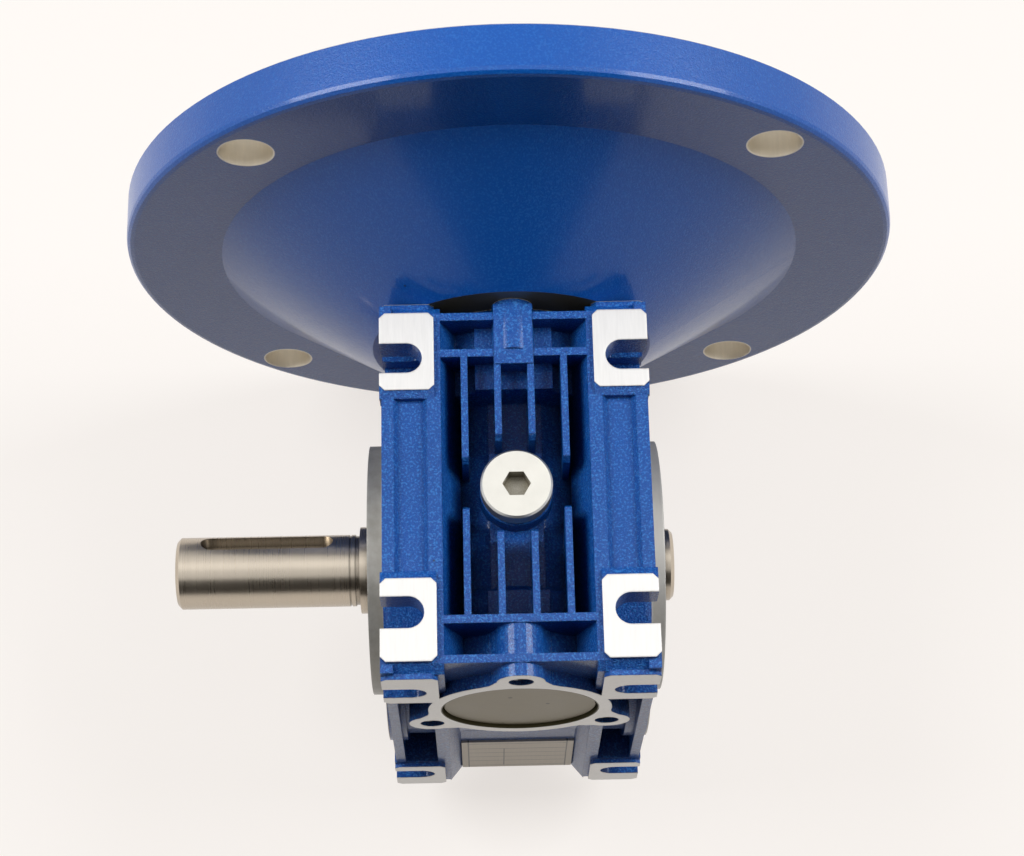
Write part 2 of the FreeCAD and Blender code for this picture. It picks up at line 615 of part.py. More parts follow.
def ribs():
    """Long ribs on each side of the plug, cross ribs and the boss under the plug."""
    pieces = []
    root = f"{WORM_HEIGHT} + tunnel_radius - rib_root"
    for side in BOTH:
        for end in BOTH:
            for place, gap in (("rib_outer_place", "rib_outer_gap"), ("rib_inner_place", "rib_inner_gap")):
                pieces.append(long_rib(side, end, place, gap))
    for end in BOTH:
        for place in (CROSS_RIB_NEAR, CROSS_RIB_FAR):
            along = span(end, f"{place} - cross_rib_width / 2", f"{place} + cross_rib_width / 2")
            pieces.append(box("cross_rib", ("-rail_inner - overlap", "rail_inner + overlap"), along, (root, RAIL_TOP)))
    pieces.append(rod("plug_boss", "z", "plug_boss_radius", (f"{WORM_HEIGHT} + tunnel_radius - 1", "plug_seat")))
    return pieces


def slopes():
    """Sloping walls of the top valley, and the inner sides of the legs at both ends."""
    pieces = []
    for side in BOTH:
        def across(text):
            return text if side > 0 else minus(text)
        valley = [(across("rail_inner + 0.1"), RAIL_TOP), (across("valley_floor_half"), "valley_foot"),
                  (across("valley_floor_half"), "valley_foot - 4"), (across("rail_inner + 0.1"), "valley_foot - 4")]
        pieces.append(prism_along("valley_wall", valley, "xz", (minus(CROSS_RIB_FAR), CROSS_RIB_FAR)))
        for end in BOTH:
            def along(text):
                return text if end > 0 else minus(text)
            leg = [(across("rail_inner + 0.1"), along(RAIL_END)),
                   (across("rail_inner - leg_slope"), along(CORE_END)),
                   (across("rail_inner - leg_slope"), along(f"{CORE_END} - 1")),
                   (across("rail_inner + 0.1"), along(f"{CORE_END} - 1"))]
            pieces.append(prism_along("leg_side", leg, "xy", (minus(BELLY), f"{WORM_HEIGHT} - 15")))
    return pieces


# Casing, step three: slots, threads, bores and the gear chamber.

def slots():
    tools = []
    half = "slot_width / 2"
    reach = f"body_half_width + {PAST}"
    for side in BOTH:
        middle = "slot_pitch_cross / 2"
        centre = middle if side > 0 else minus(middle)
        across = span(side, middle, reach)
        for end in BOTH:
            place = "slot_pitch_long / 2" if end > 0 else "-slot_pitch_long / 2"
            along = (f"{place} - {half}", f"{place} + {half}")
            for up, level in ((1, "top_height"), (-1, "foot_depth")):
                depth = span(up, f"{level} - pad_thickness - overlap", f"{level} + {PAST}")
                tools.append(box("foot_slot", across, along, depth))
                tools.append(rod("foot_slot_end", "z", half, depth, (centre, place)))
            run = span(end, "body_half_length - pad_thickness - overlap", f"body_half_length + {PAST}")
            for height in ("end_slot_up", "-end_slot_down"):
                tools.append(box("end_slot", across, run, (f"{height} - {half}", f"{height} + {half}")))
                tools.append(rod("end_slot_end", "y", half, run, (centre, height)))
    return tools


def casing_threads():
    tools = []
    for x, z in lobe_places("rear_screw_circle"):
        tools.append(rod("rear_thread", "y", "tapped_radius",
                         (f"-body_half_length - {PAST}", "-body_half_length + rear_thread_depth"), (x, z)))
    for x, z in lobe_places("front_screw_circle"):
        tools.append(rod("front_thread", "y", "tapped_radius",
                         ("body_half_length - front_thread_depth", f"body_half_length + {PAST}"), (x, z)))
    for place in square_places("side_screw_circle"):
        tools.append(rod("left_thread", "x", "tapped_radius",
                         (f"-output_face - {PAST}", "-output_face + side_thread_depth"), place))
        tools.append(rod("right_thread", "x", "cover_tapped_radius",
                         ("output_face - side_thread_depth", f"output_face + {PAST}"), place))
    for place in diagonal_places("side_screw_circle"):
        tools.append(rod("cover_thread", "x", "cover_screw_radius",
                         ("output_face - cover_screw_length", f"output_face + {PAST}"), place))
    tools.append(rod("plug_thread", "z", "plug_thread_radius",
                     (f"{WORM_HEIGHT} + tunnel_radius - 2", f"plug_seat + {PAST}")))
    return tools


REAR_BEARING_END = f"{REAR_SEAT} + rear_bearing_width"
FRONT_BEARING_END = f"{FRONT_SEAT} + front_bearing_width"
REAR_RETAINER = (minus(f"{REAR_BEARING_END} + retainer_play + retainer_thickness"),
                 minus(f"{REAR_BEARING_END} + retainer_play"))
FRONT_RETAINER = (f"{FRONT_BEARING_END} + retainer_play",
                  f"{FRONT_BEARING_END} + retainer_play + retainer_thickness")
OUTPUT_BEARING_END = "output_bearing_start + output_bearing_width"


def worm_bores():
    height = ("0", WORM_HEIGHT)
    return [
        rod("rear_bore", "y", "rear_bore", (f"-body_half_length - {PAST}", minus(REAR_SEAT)), height),
        rod("front_bore", "y", "front_bore", (FRONT_SEAT, f"body_half_length + {PAST}"), height),
        rod("tunnel", "y", "tunnel_radius", (minus(REAR_SEAT), FRONT_SEAT), height),
        rod("rear_groove", "y", "rear_bore + retainer_bite", REAR_RETAINER, height),
        rod("front_groove", "y", "front_bore + retainer_bite", FRONT_RETAINER, height),
    ]


def output_bores():
    return [
        rod("chamber", "x", "chamber_inside", ("-chamber_end", f"spigot_start + {PAST}")),
        rod("spigot_bore", "x", "spigot_radius + spigot_play", ("spigot_start", f"cover_seat + {PAST}")),
        rod("cover_room", "x", "side_boss_radius + cover_play", ("cover_seat", f"pilot_reach + {PAST}")),
        rod("left_bearing_seat", "x", "output_seat", (minus(OUTPUT_BEARING_END), "-chamber_end + overlap")),
        rod("left_lip", "x", "output_lip_bore", ("-pilot_reach", "-chamber_end")),
        rod("left_seal_seat", "x", "output_seat",
            (f"-pilot_reach - {PAST}", f"{minus(OUTPUT_BEARING_END)} - output_lip")),
    ]


def housing():
    """The cast casing: ribbed top, channelled ends, open bolt pockets and machined feet."""
    rough = cut("hollowed_frames", side_frames(), frame_hollows() + frame_bevels())
    cast = fuse("cast_casing", [rough] + feet() + barrels() + lobes() + ribs() + slopes())
    machined = cut("machined_casing", cast, slots() + casing_threads() + worm_bores() + output_bores())
    return label(machined, "housing")


# Side cover on the closed side, with its seal ring and screws.

def side_cover():
    inner = "output_seat"
    hub = "chamber_inside - cover_hub_play"
    groove_end = "seal_ring_start + seal_ring_width"
    groove_floor = "spigot_radius - seal_ring_width"
    points = [
        (inner, "chamber_end"), (hub, "chamber_end"), (hub, "spigot_start"),
        ("spigot_radius", "spigot_start"), ("spigot_radius", "seal_ring_start"),
        (groove_floor, "seal_ring_start"), (groove_floor, groove_end), ("spigot_radius", groove_end),
        ("spigot_radius", "cover_seat"), ("side_boss_radius", "cover_seat"),
        ("side_boss_radius", "output_face"), ("pilot_radius", "output_face"),
        ("pilot_radius", "pilot_reach"), (inner, "pilot_reach"),
        (inner, f"{OUTPUT_BEARING_END} + output_lip"), ("output_lip_bore", f"{OUTPUT_BEARING_END} + output_lip"),
        ("output_lip_bore", OUTPUT_BEARING_END), (inner, OUTPUT_BEARING_END),
    ]
    plain = turned("cover_blank", "x", points)
    tools = []
    for place in square_places("side_screw_circle"):
        tools.append(rod("cover_tapping", "x", "cover_tapped_radius",
                         (f"cover_seat - {PAST}", f"output_face + {PAST}"), place))
    for place in diagonal_places("side_screw_circle"):
        tools.append(rod("cover_clearance", "x", "cover_screw_radius",
                         (f"cover_seat - {PAST}", f"output_face + {PAST}"), place))
        tools.append(cone("cover_sink", "x", ("cover_screw_radius", "cover_screw_head"),
                          ("output_face - cover_screw_sink", "output_face"), place))
    label(cut("drilled_cover", plain, tools), "output_cover")
    label(ring("seal_ring", "x", groove_floor, "spigot_radius",
               ("seal_ring_start", groove_end)), "cover_seal_ring")
    screws = []
    for place in diagonal_places("side_screw_circle"):
        shank = rod("cover_shank", "x", "cover_screw_radius",
                    ("output_face - cover_screw_length", "output_face"), place)
        head = cone("cover_head", "x", ("cover_screw_radius", "cover_screw_head"),
                    ("output_face - cover_screw_sink", "output_face"), place)
        socket = hexagon("cover_socket", "cover_screw_socket",
                         ("output_face - cover_socket_depth", f"output_face + {PAST}"), "x", place)
        screws.append(cut("cover_screw", fuse("cover_screw_body", [shank, head]), [socket]))
    label(group("cover_screw_set", screws), "cover_screws")


def group(name, pieces):
    together = doc.addObject("Part::Compound", name)
    together.Links = pieces
    return together


# Motor flange with its screws.

def motor_flange():
    shelf = "flange_back - motor_pilot_depth"
    points = [
        ("neck_bore", "body_half_length"), ("neck_radius", "body_half_length"),
        ("flange_cone_radius", "flange_front"), ("flange_radius - flange_edge", "flange_front"),
        ("flange_radius - flange_edge * (1 - sin(30 deg))", "flange_front + flange_edge * (1 - cos(30 deg))"),
        ("flange_radius - flange_edge * (1 - cos(30 deg))", "flange_front + flange_edge * (1 - sin(30 deg))"),
        ("flange_radius", "flange_front + flange_edge"),
        ("flange_radius", "flange_back - flange_back_edge"), ("flange_radius - flange_back_edge", "flange_back"),
        ("motor_pilot", "flange_back"), ("motor_pilot", shelf), ("shelf_radius", shelf),
        ("shelf_radius", "flange_back - shelf_depth"), ("neck_inside", "body_half_length + neck_plate"),
        ("neck_bore", "body_half_length + neck_plate"),
    ]
    plain = turned("flange_blank", "y", points)
    tools = []
    reach = "(flange_radius - motor_bolt_inset) * sqrt(0.5)"
    for x in (reach, minus(reach)):
        for z in (reach, minus(reach)):
            tools.append(rod("motor_bolt_hole", "y", "motor_bolt_radius",
                             (f"flange_front - {PAST}", f"flange_back + {PAST}"),
                             (x, f"{WORM_HEIGHT} + {z}")))
    for x, z in lobe_places("front_screw_circle"):
        tools.append(rod("screw_hole", "y", "tapped_radius + flange_screw_play",
                         (f"body_half_length - {PAST}", f"body_half_length + neck_plate + {PAST}"), (x, z)))
    label(cut("drilled_flange", plain, tools), "input_flange")


def flange_screws():
    screws = []
    seat = "body_half_length + neck_plate"
    top = f"{seat} + flange_screw_head_height"
    for x, z in lobe_places("front_screw_circle"):
        shank = rod("flange_shank", "y", "tapped_radius", ("body_half_length - flange_screw_bite", f"{seat} + overlap"),
                    (x, z))
        head = rod("flange_head", "y", "flange_screw_head", (seat, top), (x, z))
        socket = hexagon("flange_socket", "flange_screw_socket",
                         (f"{top} - flange_screw_head_height / 2", f"{top} + {PAST}"), "y", (x, z))
        screws.append(cut("flange_screw", fuse("flange_screw_body", [shank, head]), [socket]))
    label(group("flange_screw_set", screws), "input_flange_screws")


# Bearings, seals, circlips and the end cap.

def bearing(name, axis, bore, seat, wall, stations):
    """Inner and outer ring of a ball bearing; the balls behind its shields are left out."""
    label(ring(name + "_inner", axis, bore, f"{bore} + {wall}", stations), name + "_inner_ring")
    label(ring(name + "_outer", axis, f"{seat} - {wall}", seat, stations), name + "_outer_ring")


def circlip(label_name, axis, inner, outer, stations, gap_half):
    """A flat spring ring, open on its lower side."""
    whole = ring(label_name + "_blank", axis, inner, outer, stations)
    low, high = stations
    along = (f"{low} - {PAST}", f"{high} + {PAST}")
    centre = WORM_HEIGHT if axis == "y" else "0"
    below = (f"{centre} - ({outer}) - {PAST}", centre)
    across = (minus(gap_half), gap_half)
    gap = box("circlip_gap", across, along, below) if axis == "y" else box("circlip_gap", along, across, below)
    label(cut(label_name + "_open", whole, [gap]), label_name)


def small_parts():
    for side, name in ((-1, "left"), (1, "right")):
        bearing(f"output_bearing_{name}", "x", "output_journal", "output_seat", "ring_wall",
                span(side, "output_bearing_start", OUTPUT_BEARING_END))
        start = f"{OUTPUT_BEARING_END} + output_lip"
        label(ring(f"output_oil_seal_{name}_ring", "x", "output_journal + seal_play", "output_seat",
                   span(side, start, f"{start} + output_seal_width")), f"output_oil_seal_{name}")
    bearing("input_bearing", "y", "front_journal", "front_bore", "small_ring_wall",
            (FRONT_SEAT, FRONT_BEARING_END))
    bearing("rear_bearing", "y", "rear_journal", "rear_bore", "rear_ring_wall",
            (minus(REAR_BEARING_END), minus(REAR_SEAT)))
    circlip("input_bearing_circlip", "y", "front_bore - retainer_height", "front_bore + retainer_bite",
            FRONT_RETAINER, "3")
    circlip("rear_bearing_circlip", "y", "rear_bore - retainer_height", "rear_bore + retainer_bite",
            REAR_RETAINER, "3")
    label(ring("input_seal", "y", "front_journal + seal_play", "front_bore",
               ("body_half_length - seal_sink - input_seal_width", "body_half_length - seal_sink")),
          "input_oil_seal")
    cap_face = "-body_half_length + cap_sink"
    label(turned("end_cap", "y", [
        ("0", cap_face), ("rear_bore - cap_chamfer", cap_face), ("rear_bore", f"{cap_face} + cap_chamfer"),
        ("rear_bore", f"{cap_face} + cap_thickness"), ("0", f"{cap_face} + cap_thickness"),
    ]), "rear_end_cap")


def filler_plug():
    seat = "plug_seat + washer_thickness"
    top = f"{seat} + plug_head_height"
    shank = rod("plug_shank", "z", "plug_thread_radius", ("plug_seat - plug_thread_length", f"{seat} + overlap"))
    head = rod("plug_head", "z", "plug_head_radius", (seat, f"{top} - plug_head_chamfer"))
    rim = cone("plug_rim", "z", ("plug_head_radius", "plug_head_radius - plug_head_chamfer"),
               (f"{top} - plug_head_chamfer", top))
    socket = hexagon("plug_hexagon", "plug_socket", (f"{top} - plug_socket_depth", f"{top} + {PAST}"), "z")
    label(cut("plug", fuse("plug_body", [shank, head, rim]), [socket]), "filler_plug")
    disc = rod("washer_disc", "z", "washer_radius", ("plug_seat", seat))
    hole = rod("washer_hole", "z", "plug_thread_radius", (f"plug_seat - {PAST}", f"{seat} + {PAST}"))
    label(cut("washer", disc, [hole]), "filler_plug_washer")


def plate():
    bottom = f"-foot_depth + core_lift + plate_rise"
    label(box("plate_sheet", ("-plate_width / 2", "plate_width / 2"),
              (f"{minus(CORE_END)} - plate_thickness", minus(CORE_END)),
              (bottom, f"{bottom} + plate_height")), "nameplate")


# Output group: bronze rim, hub with the hollow shaft, solid shaft, key and circlip.

def worm_wheel_rim():
    """The toothed rim, throated to fit round the worm.

    Each tooth gap is turned about the worm axis and tilted by the worm's lead angle.
    Its flank is the chord of the involute, so the worm's thread keeps clear of it.
    """
    teeth = int(sheet.wheel_teeth)
    pitch_radius = sheet.module * teeth / 2
    worm_pitch_radius = sheet.centre_distance - pitch_radius
    tip_radius = pitch_radius + sheet.module
    root_radius = pitch_radius - sheet.module - sheet.tip_clearance
    pressure = math.radians(sheet.pressure_angle)
    base_radius = pitch_radius * math.cos(pressure)
    lead_angle = math.degrees(math.atan(sheet.module / 2 / worm_pitch_radius))

    def involute(radius):
        angle = math.acos(base_radius / radius)
        return math.tan(angle) - angle

    def gap_half_angle(radius):
        at_pitch = (math.pi * sheet.module / 2 + sheet.backlash) / 2 / pitch_radius
        return at_pitch + involute(max(radius, base_radius)) - involute(pitch_radius)

    worm_axis = Vector(0, 0, sheet.centre_distance)
    throat = worm_axis.z - tip_radius
    flank = [(radius, gap_half_angle(radius)) for radius in (root_radius, base_radius, tip_radius + 1)]
    right = [Vector(0, r * math.sin(a), r * math.cos(a)) for r, a in flank]
    left = [Vector(0, -point.y, point.z) for point in reversed(right)]
    corners = right + left
    section = Part.Face(Part.makePolygon(corners + corners[:1]))
    sweep = 55
    section.rotate(worm_axis, Vector(0, 1, 0), -sweep)
    gap = section.revolve(worm_axis, Vector(0, 1, 0), 2 * sweep)
    gap.rotate(worm_axis, Vector(0, 0, 1), -lead_angle)

    half = sheet.rim_half_width
    along_x = Vector(1, 0, 0)
    blank = Part.makeCylinder(sheet.rim_outside, 2 * half, Vector(-half, 0, 0), along_x)
    blank = blank.cut(Part.makeCylinder(sheet.rim_seat, 2 * half, Vector(-half, 0, 0), along_x))
    groove = Part.makeTorus(sheet.centre_distance, throat, Vector(), along_x)
    blank = blank.cut(groove)
    gaps = []
    for number in range(teeth):
        turned_gap = gap.copy()
        turned_gap.rotate(Vector(), along_x, 360.0 * number / teeth)
        gaps.append(turned_gap)
    rim = doc.addObject("Part::Feature", "toothed_rim")
    rim.Shape = blank.cut(gaps)
    rim.Placement = Placement()
    label(rim, "worm_wheel_rim")


def keyed(body):
    """Turns a piece of the output group so that its keyways face the same way."""
    body.Placement = Placement(Vector(), Rotation(Vector(1, 0, 0), 0))
    bind(body, "Placement.Rotation.Angle", "key_angle")
    return body


def hub():
    web = "rim_half_width"
    points = [
        ("output_bore", "-pilot_reach"), ("output_journal", "-pilot_reach"),
        ("output_journal", "-output_bearing_start"), ("hub_shoulder", "-output_bearing_start"),
        ("hub_shoulder", minus(web)), ("rim_seat", minus(web)), ("rim_seat", web), ("hub_shoulder", web),
        ("hub_shoulder", "output_bearing_start"), ("output_journal", "output_bearing_start"),
        ("output_journal", "pilot_reach"), ("output_bore", "pilot_reach"),
    ]
    blank = turned("hub_blank", "x", points)
    keyway = box("hub_keyway", (f"-pilot_reach - {PAST}", f"pilot_reach + {PAST}"),
                 ("-keyway_width / 2", "keyway_width / 2"), ("0", "key_rise"))
    label(keyed(cut("hub_keyed", blank, [keyway])), "hollow_output_shaft")


def rounded_key(name, stations, low, high):
    """A key or keyway with round ends, lying along the output axis."""
    half = "keyway_width / 2"
    start, end = stations
    return fuse(name, [
        box(name + "_bar", (f"{start} + {half}", f"{end} - {half}"), (minus(half), half), (low, high)),
        rod(name + "_start", "z", half, (low, high), (f"{start} + {half}", "0")),
        rod(name + "_end", "z", half, (low, high), (f"{end} - {half}", "0")),
    ])


def output_shaft():
    radius = "output_bore - shaft_play"
    small = "output_bore - relief_depth"
    groove = "circlip_groove"
    clip_start = "pilot_reach"
    clip_end = "pilot_reach + circlip_thickness"
    collar = "pilot_reach + collar_width"
    relief = f"{collar} + relief_width"
    groove_near = f"{collar} + groove_start"
    groove_far = f"{groove_near} + groove_width"
    points = [
        ("0", "-shaft_end"), (f"{radius} - shaft_chamfer", "-shaft_end"), (radius, "-shaft_end + shaft_chamfer"),
        (radius, minus(groove_far)), (small, minus(groove_far)),
        (small, minus(groove_near)), (radius, minus(groove_near)),
        (radius, minus(relief)), (small, minus(relief)),
        (small, minus(collar)), ("collar_radius", minus(collar)), ("collar_radius", "-pilot_reach"),
        (radius, "-pilot_reach"), (radius, clip_start), (groove, clip_start), (groove, clip_end),
        (radius, clip_end), (radius, "shaft_stub - shaft_chamfer"),
        (f"{radius} - shaft_chamfer", "shaft_stub"), ("0", "shaft_stub"),
    ]
    blank = turned("shaft_blank", "x", points)
    blank.Placement = Placement(Vector(), Rotation(Vector(1, 0, 0), 0))
    bind(blank, "Placement.Rotation.Angle", "seam_angle")
    top = f"output_bore + {PAST}"
    outer = rounded_key("outer_keyway", ("-keyway_far", "-keyway_near"), "keyway_floor", top)
    inner = rounded_key("inner_keyway", ("-key_half_length", "key_half_length"), "keyway_floor", top)
    label(keyed(cut("shaft_keyed", blank, [outer, inner])), "output_shaft")
    label(keyed(rounded_key("shaft_key", ("-key_half_length", "key_half_length"), "keyway_floor",
                            "key_rise - key_play")), "output_shaft_key")
    circlip("output_shaft_circlip", "x", groove, "circlip_radius", (clip_start, clip_end), "2.5")


# Worm shaft with its thread and the hollow input end.

def worm_shaft():
    pitch = "module * pi"
    worm_pitch = "centre_distance - module * wheel_teeth / 2"
    root = f"{worm_pitch} - module - tip_clearance"
    points = [
        ("0", minus(REAR_BEARING_END)), ("rear_journal - journal_chamfer", minus(REAR_BEARING_END)),
        ("rear_journal", f"{minus(REAR_BEARING_END)} + journal_chamfer"),
        ("rear_journal", minus(REAR_SEAT)), ("rear_shoulder", minus(REAR_SEAT)),
        ("rear_shoulder", f"{minus(REAR_SEAT)} + rear_shoulder_width"),
        (root, "-thread_half_length - rear_runout"),
        (root, "thread_half_length + front_runout"), ("front_shoulder", f"{FRONT_SEAT} - front_shoulder_width"),
        ("front_shoulder", FRONT_SEAT), ("front_journal", FRONT_SEAT),
        ("front_journal", "quill_end - journal_chamfer"), ("front_journal - journal_chamfer", "quill_end"),
        ("input_bore", "quill_end"), ("input_bore", "input_bore_floor"), ("0", "input_bore_floor"),
    ]
    body = turned("worm_body", "y", points)
    start = f"-{pitch} * (floor(thread_half_length / ({pitch})) + 0.25)"
    tip = f"{worm_pitch} + module"
    slant = "tan(pressure_angle * 1 deg)"
    base = f"{root} - 0.2"
    wide = f"({pitch} / 4 + ({worm_pitch} - ({base})) * {slant})"
    thin = f"({pitch} / 4 - module * {slant})"
    thread = outline(body, "thread_section", [
        (base, f"{start} - {wide}"), (tip, f"{start} - {thin}"),
        (tip, f"{start} + {thin}"), (base, f"{start} + {wide}"),
    ])
    thread.AttachmentSupport = [(origin_plane(body, "XY_Plane"), "")]
    thread.MapMode = "FlatFace"
    doc.recompute()
    helix = body.newObject("PartDesign::AdditiveHelix", "worm_thread")
    helix.Profile = thread
    helix.ReferenceAxis = (thread, ["V_Axis"])
    helix.Mode = 0
    bind(helix, "Pitch", pitch)
    bind(helix, "Height", f"-2 * ({start})")
    helix.LeftHanded = False
    helix.Reversed = False
    body.Tip = helix
    keyway = box("input_keyway", ("-keyway_width / 2", "keyway_width / 2"),
                 ("input_bore_floor + keyway_width", f"quill_end + {PAST}"),
                 (WORM_HEIGHT, f"{WORM_HEIGHT} + input_keyway_rise"))
    label(cut("worm_keyed", body, [keyway]), "worm_shaft")


def write_parts():
    doc.recompute()
    for item in doc.Objects:
        if "Invalid" in item.State or "Error" in item.State:
            raise RuntimeError(f"{item.Name} failed: {item.State}")
    os.makedirs("parts", exist_ok=True)
    for piece in parts:
        shape = piece.Shape
        if shape.isNull() or not shape.isValid() or not shape.Solids:
            raise RuntimeError(f"{piece.Label} has no valid solid")
        shape.exportStep(f"parts/{piece.Label}.step")
        print(f"{piece.Label}: {len(shape.Solids)} solid(s), {shape.Volume:.0f} mm3")


housing()
side_cover()
motor_flange()
flange_screws()
small_parts()
filler_plug()
plate()
worm_wheel_rim()
hub()
output_shaft()
worm_shaft()
write_parts()
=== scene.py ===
import math

import bmesh
import bpy
from mathutils import Matrix, Vector


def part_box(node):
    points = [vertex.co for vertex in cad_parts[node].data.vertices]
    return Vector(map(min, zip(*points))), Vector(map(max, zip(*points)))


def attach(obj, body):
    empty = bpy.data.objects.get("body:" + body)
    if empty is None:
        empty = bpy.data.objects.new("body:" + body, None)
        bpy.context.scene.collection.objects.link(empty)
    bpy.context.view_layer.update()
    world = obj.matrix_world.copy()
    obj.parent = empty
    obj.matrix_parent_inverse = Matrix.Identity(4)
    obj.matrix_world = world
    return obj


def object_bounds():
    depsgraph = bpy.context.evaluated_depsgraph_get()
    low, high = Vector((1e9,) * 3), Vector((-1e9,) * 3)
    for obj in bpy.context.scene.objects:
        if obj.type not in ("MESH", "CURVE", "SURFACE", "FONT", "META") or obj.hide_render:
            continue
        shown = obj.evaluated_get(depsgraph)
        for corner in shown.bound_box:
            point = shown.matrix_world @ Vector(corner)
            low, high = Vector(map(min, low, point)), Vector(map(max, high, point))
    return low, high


bl_info = {
    "name": "Worm gear reducer look",
    "version": (1, 0, 0),
    "blender": (4, 5, 0),
    "location": "3D View > Sidebar > Reducer",
    "description": "Dresses the worm gear reducer and sets its studio",
    "category": "Object",
}

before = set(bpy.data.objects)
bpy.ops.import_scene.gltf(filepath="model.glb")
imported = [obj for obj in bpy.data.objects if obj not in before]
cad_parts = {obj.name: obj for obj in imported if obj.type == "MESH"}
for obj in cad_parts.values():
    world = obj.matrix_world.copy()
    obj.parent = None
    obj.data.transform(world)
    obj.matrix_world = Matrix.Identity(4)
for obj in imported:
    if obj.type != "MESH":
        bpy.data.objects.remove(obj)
CAD_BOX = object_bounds()
MM = 0.001

# Sizes of the solids that the finishes and the small pieces follow
CENTRE_DISTANCE = 30.0 * MM
BODY_HALF_LENGTH = 40.0 * MM
TOP_HEIGHT = 57.0 * MM
FOOT_DEPTH = 40.0 * MM
OUTPUT_FACE = 28.0 * MM
PAD_RELIEF = 1.0 * MM
PAD_INNER = 16.3 * MM
RAIL_INNER = 15.2 * MM
BAR_HALF_WIDTH = 4.0 * MM
CROSS_RIB_WIDTH = 1.7 * MM
CROSS_RIB_INSET = 11.7 * MM
REAR_BORE = 16.0 * MM
REAR_SCREW_CIRCLE = 42.0 * MM
SIDE_SCREW_CIRCLE = 65.0 * MM
TAPPED_RADIUS = 2.5 * MM
COVER_TAPPED_RADIUS = 2.7 * MM
FLANGE_BACK = 71.8 * MM
MOTOR_PILOT = 57.15 * MM
MOTOR_PILOT_DEPTH = 4.8 * MM
MOTOR_BOLT_RADIUS = 5.5 * MM
MOTOR_BOLT_OFFSET = 52.75 * MM


# Shader building

class Signal:
    """A node's output that takes part in Python sums."""

    def __init__(self, paint, socket):
        self.paint = paint
        self.socket = socket

    def math(self, operation, *values):
        return self.paint.node("ShaderNodeMath", {"operation": operation}, dict(enumerate(values)))

    def __add__(self, other):
        return self.math("ADD", self, other)

    def __radd__(self, other):
        return self.math("ADD", other, self)

    def __sub__(self, other):
        return self.math("SUBTRACT", self, other)

    def __rsub__(self, other):
        return self.math("SUBTRACT", other, self)

    def __mul__(self, other):
        return self.math("MULTIPLY", self, other)

    def __rmul__(self, other):
        return self.math("MULTIPLY", other, self)

    def __truediv__(self, other):
        return self.math("DIVIDE", self, other)

    def __abs__(self):
        return self.math("ABSOLUTE", self)

    def root(self):
        return self.math("SQRT", self)

    def top(self, other):
        return self.math("MAXIMUM", self, other)

    def above(self, level, soft):
        """0 below the level and 1 above it, with a soft step between."""
        return self.paint.node("ShaderNodeMapRange", {"interpolation_type": "SMOOTHSTEP"},
                               {"Value": self, "From Min": level - soft, "From Max": level + soft})


class Paint:
    """A material whose nodes are added from Python."""

    def __init__(self, name, colour, roughness, metallic=0.0):
        self.material = bpy.data.materials.new(name)
        self.material.use_nodes = True
        self.tree = self.material.node_tree
        self.shader = self.tree.nodes["Principled BSDF"]
        self.shader.inputs["Base Color"].default_value = (*colour, 1.0)
        self.shader.inputs["Roughness"].default_value = roughness
        self.shader.inputs["Metallic"].default_value = metallic
        self.material.diffuse_color = (*colour, 1.0)

    def node(self, kind, settings, values, output=0):
        made = self.tree.nodes.new(kind)
        for key, value in settings.items():
            setattr(made, key, value)
        for key, value in values.items():
            self.feed(made.inputs[key], value)
        return Signal(self, made.outputs[output])

    def feed(self, socket, value):
        if isinstance(value, Signal):
            self.tree.links.new(value.socket, socket)
        else:
            socket.default_value = value

    def set(self, name, value):
        self.feed(self.shader.inputs[name], value)

    def place(self):
        return self.node("ShaderNodeTexCoord", {}, {}, "Object")

    def axes(self):
        """The object's own X, Y and Z as three signals."""
        parts = self.tree.nodes.new("ShaderNodeSeparateXYZ")
        self.feed(parts.inputs[0], self.place())
        return [Signal(self, parts.outputs[k]) for k in range(3)]

    def noise(self, size, detail=3.0, rough=0.5, stretch=(1.0, 1.0, 1.0)):
        """Noise with features of about the given size in metres."""
        spot = self.node("ShaderNodeMapping", {}, {"Vector": self.place(), "Scale": stretch})
        return self.node("ShaderNodeTexNoise", {}, {
            "Vector": spot, "Scale": 1.0 / size, "Detail": detail, "Roughness": rough,
        })

    def specks(self, size, share):
        """1 in small scattered spots and 0 between them."""
        cells = self.node("ShaderNodeTexVoronoi", {"feature": "F1"},
                          {"Vector": self.place(), "Scale": 1.0 / size}, "Distance")
        return 1.0 - cells.above(share, share * 0.3)

    def mix(self, factor, first, second):
        """A colour between two colours."""
        made = self.tree.nodes.new("ShaderNodeMix")
        made.data_type = "RGBA"
        self.feed(made.inputs["Factor"], factor)
        for socket, value in zip([s for s in made.inputs if s.type == "RGBA"], (first, second)):
            self.feed(socket, value if isinstance(value, Signal) else (*value, 1.0))
        return Signal(self, [s for s in made.outputs if s.type == "RGBA"][0])

    def crevice(self, reach):
        """1 on open surfaces and towards 0 in corners that are narrower than the reach."""
        return self.node("ShaderNodeAmbientOcclusion", {"samples": 6}, {"Distance": reach}, "AO")

    def soft_edges(self, radius):
        """The normal of the surface with its edges rounded."""
        return self.node("ShaderNodeBevel", {"samples": 4}, {"Radius": radius})

    def seen(self):
        """1 for what the camera, a mirror or glass sees."""
        ray = [self.node("ShaderNodeLightPath", {}, {}, f"Is {kind} Ray")
               for kind in ("Camera", "Glossy", "Transmission")]
        return ray[0].top(ray[1]).top(ray[2])

    def bump(self, height, distance, normal=None):
        values = {"Height": height, "Distance": distance}
        if normal is not None:
            values["Normal"] = normal
        return self.node("ShaderNodeBump", {}, values)


def scaled(colour, share):
    """The colour with each of its channels times the share."""
    return tuple(c * share for c in colour)


def dress(material, *names):
    """Gives the material to every slot of the named nodes."""
    for name in names:
        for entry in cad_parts[name].material_slots:
            entry.material = material


# Settings

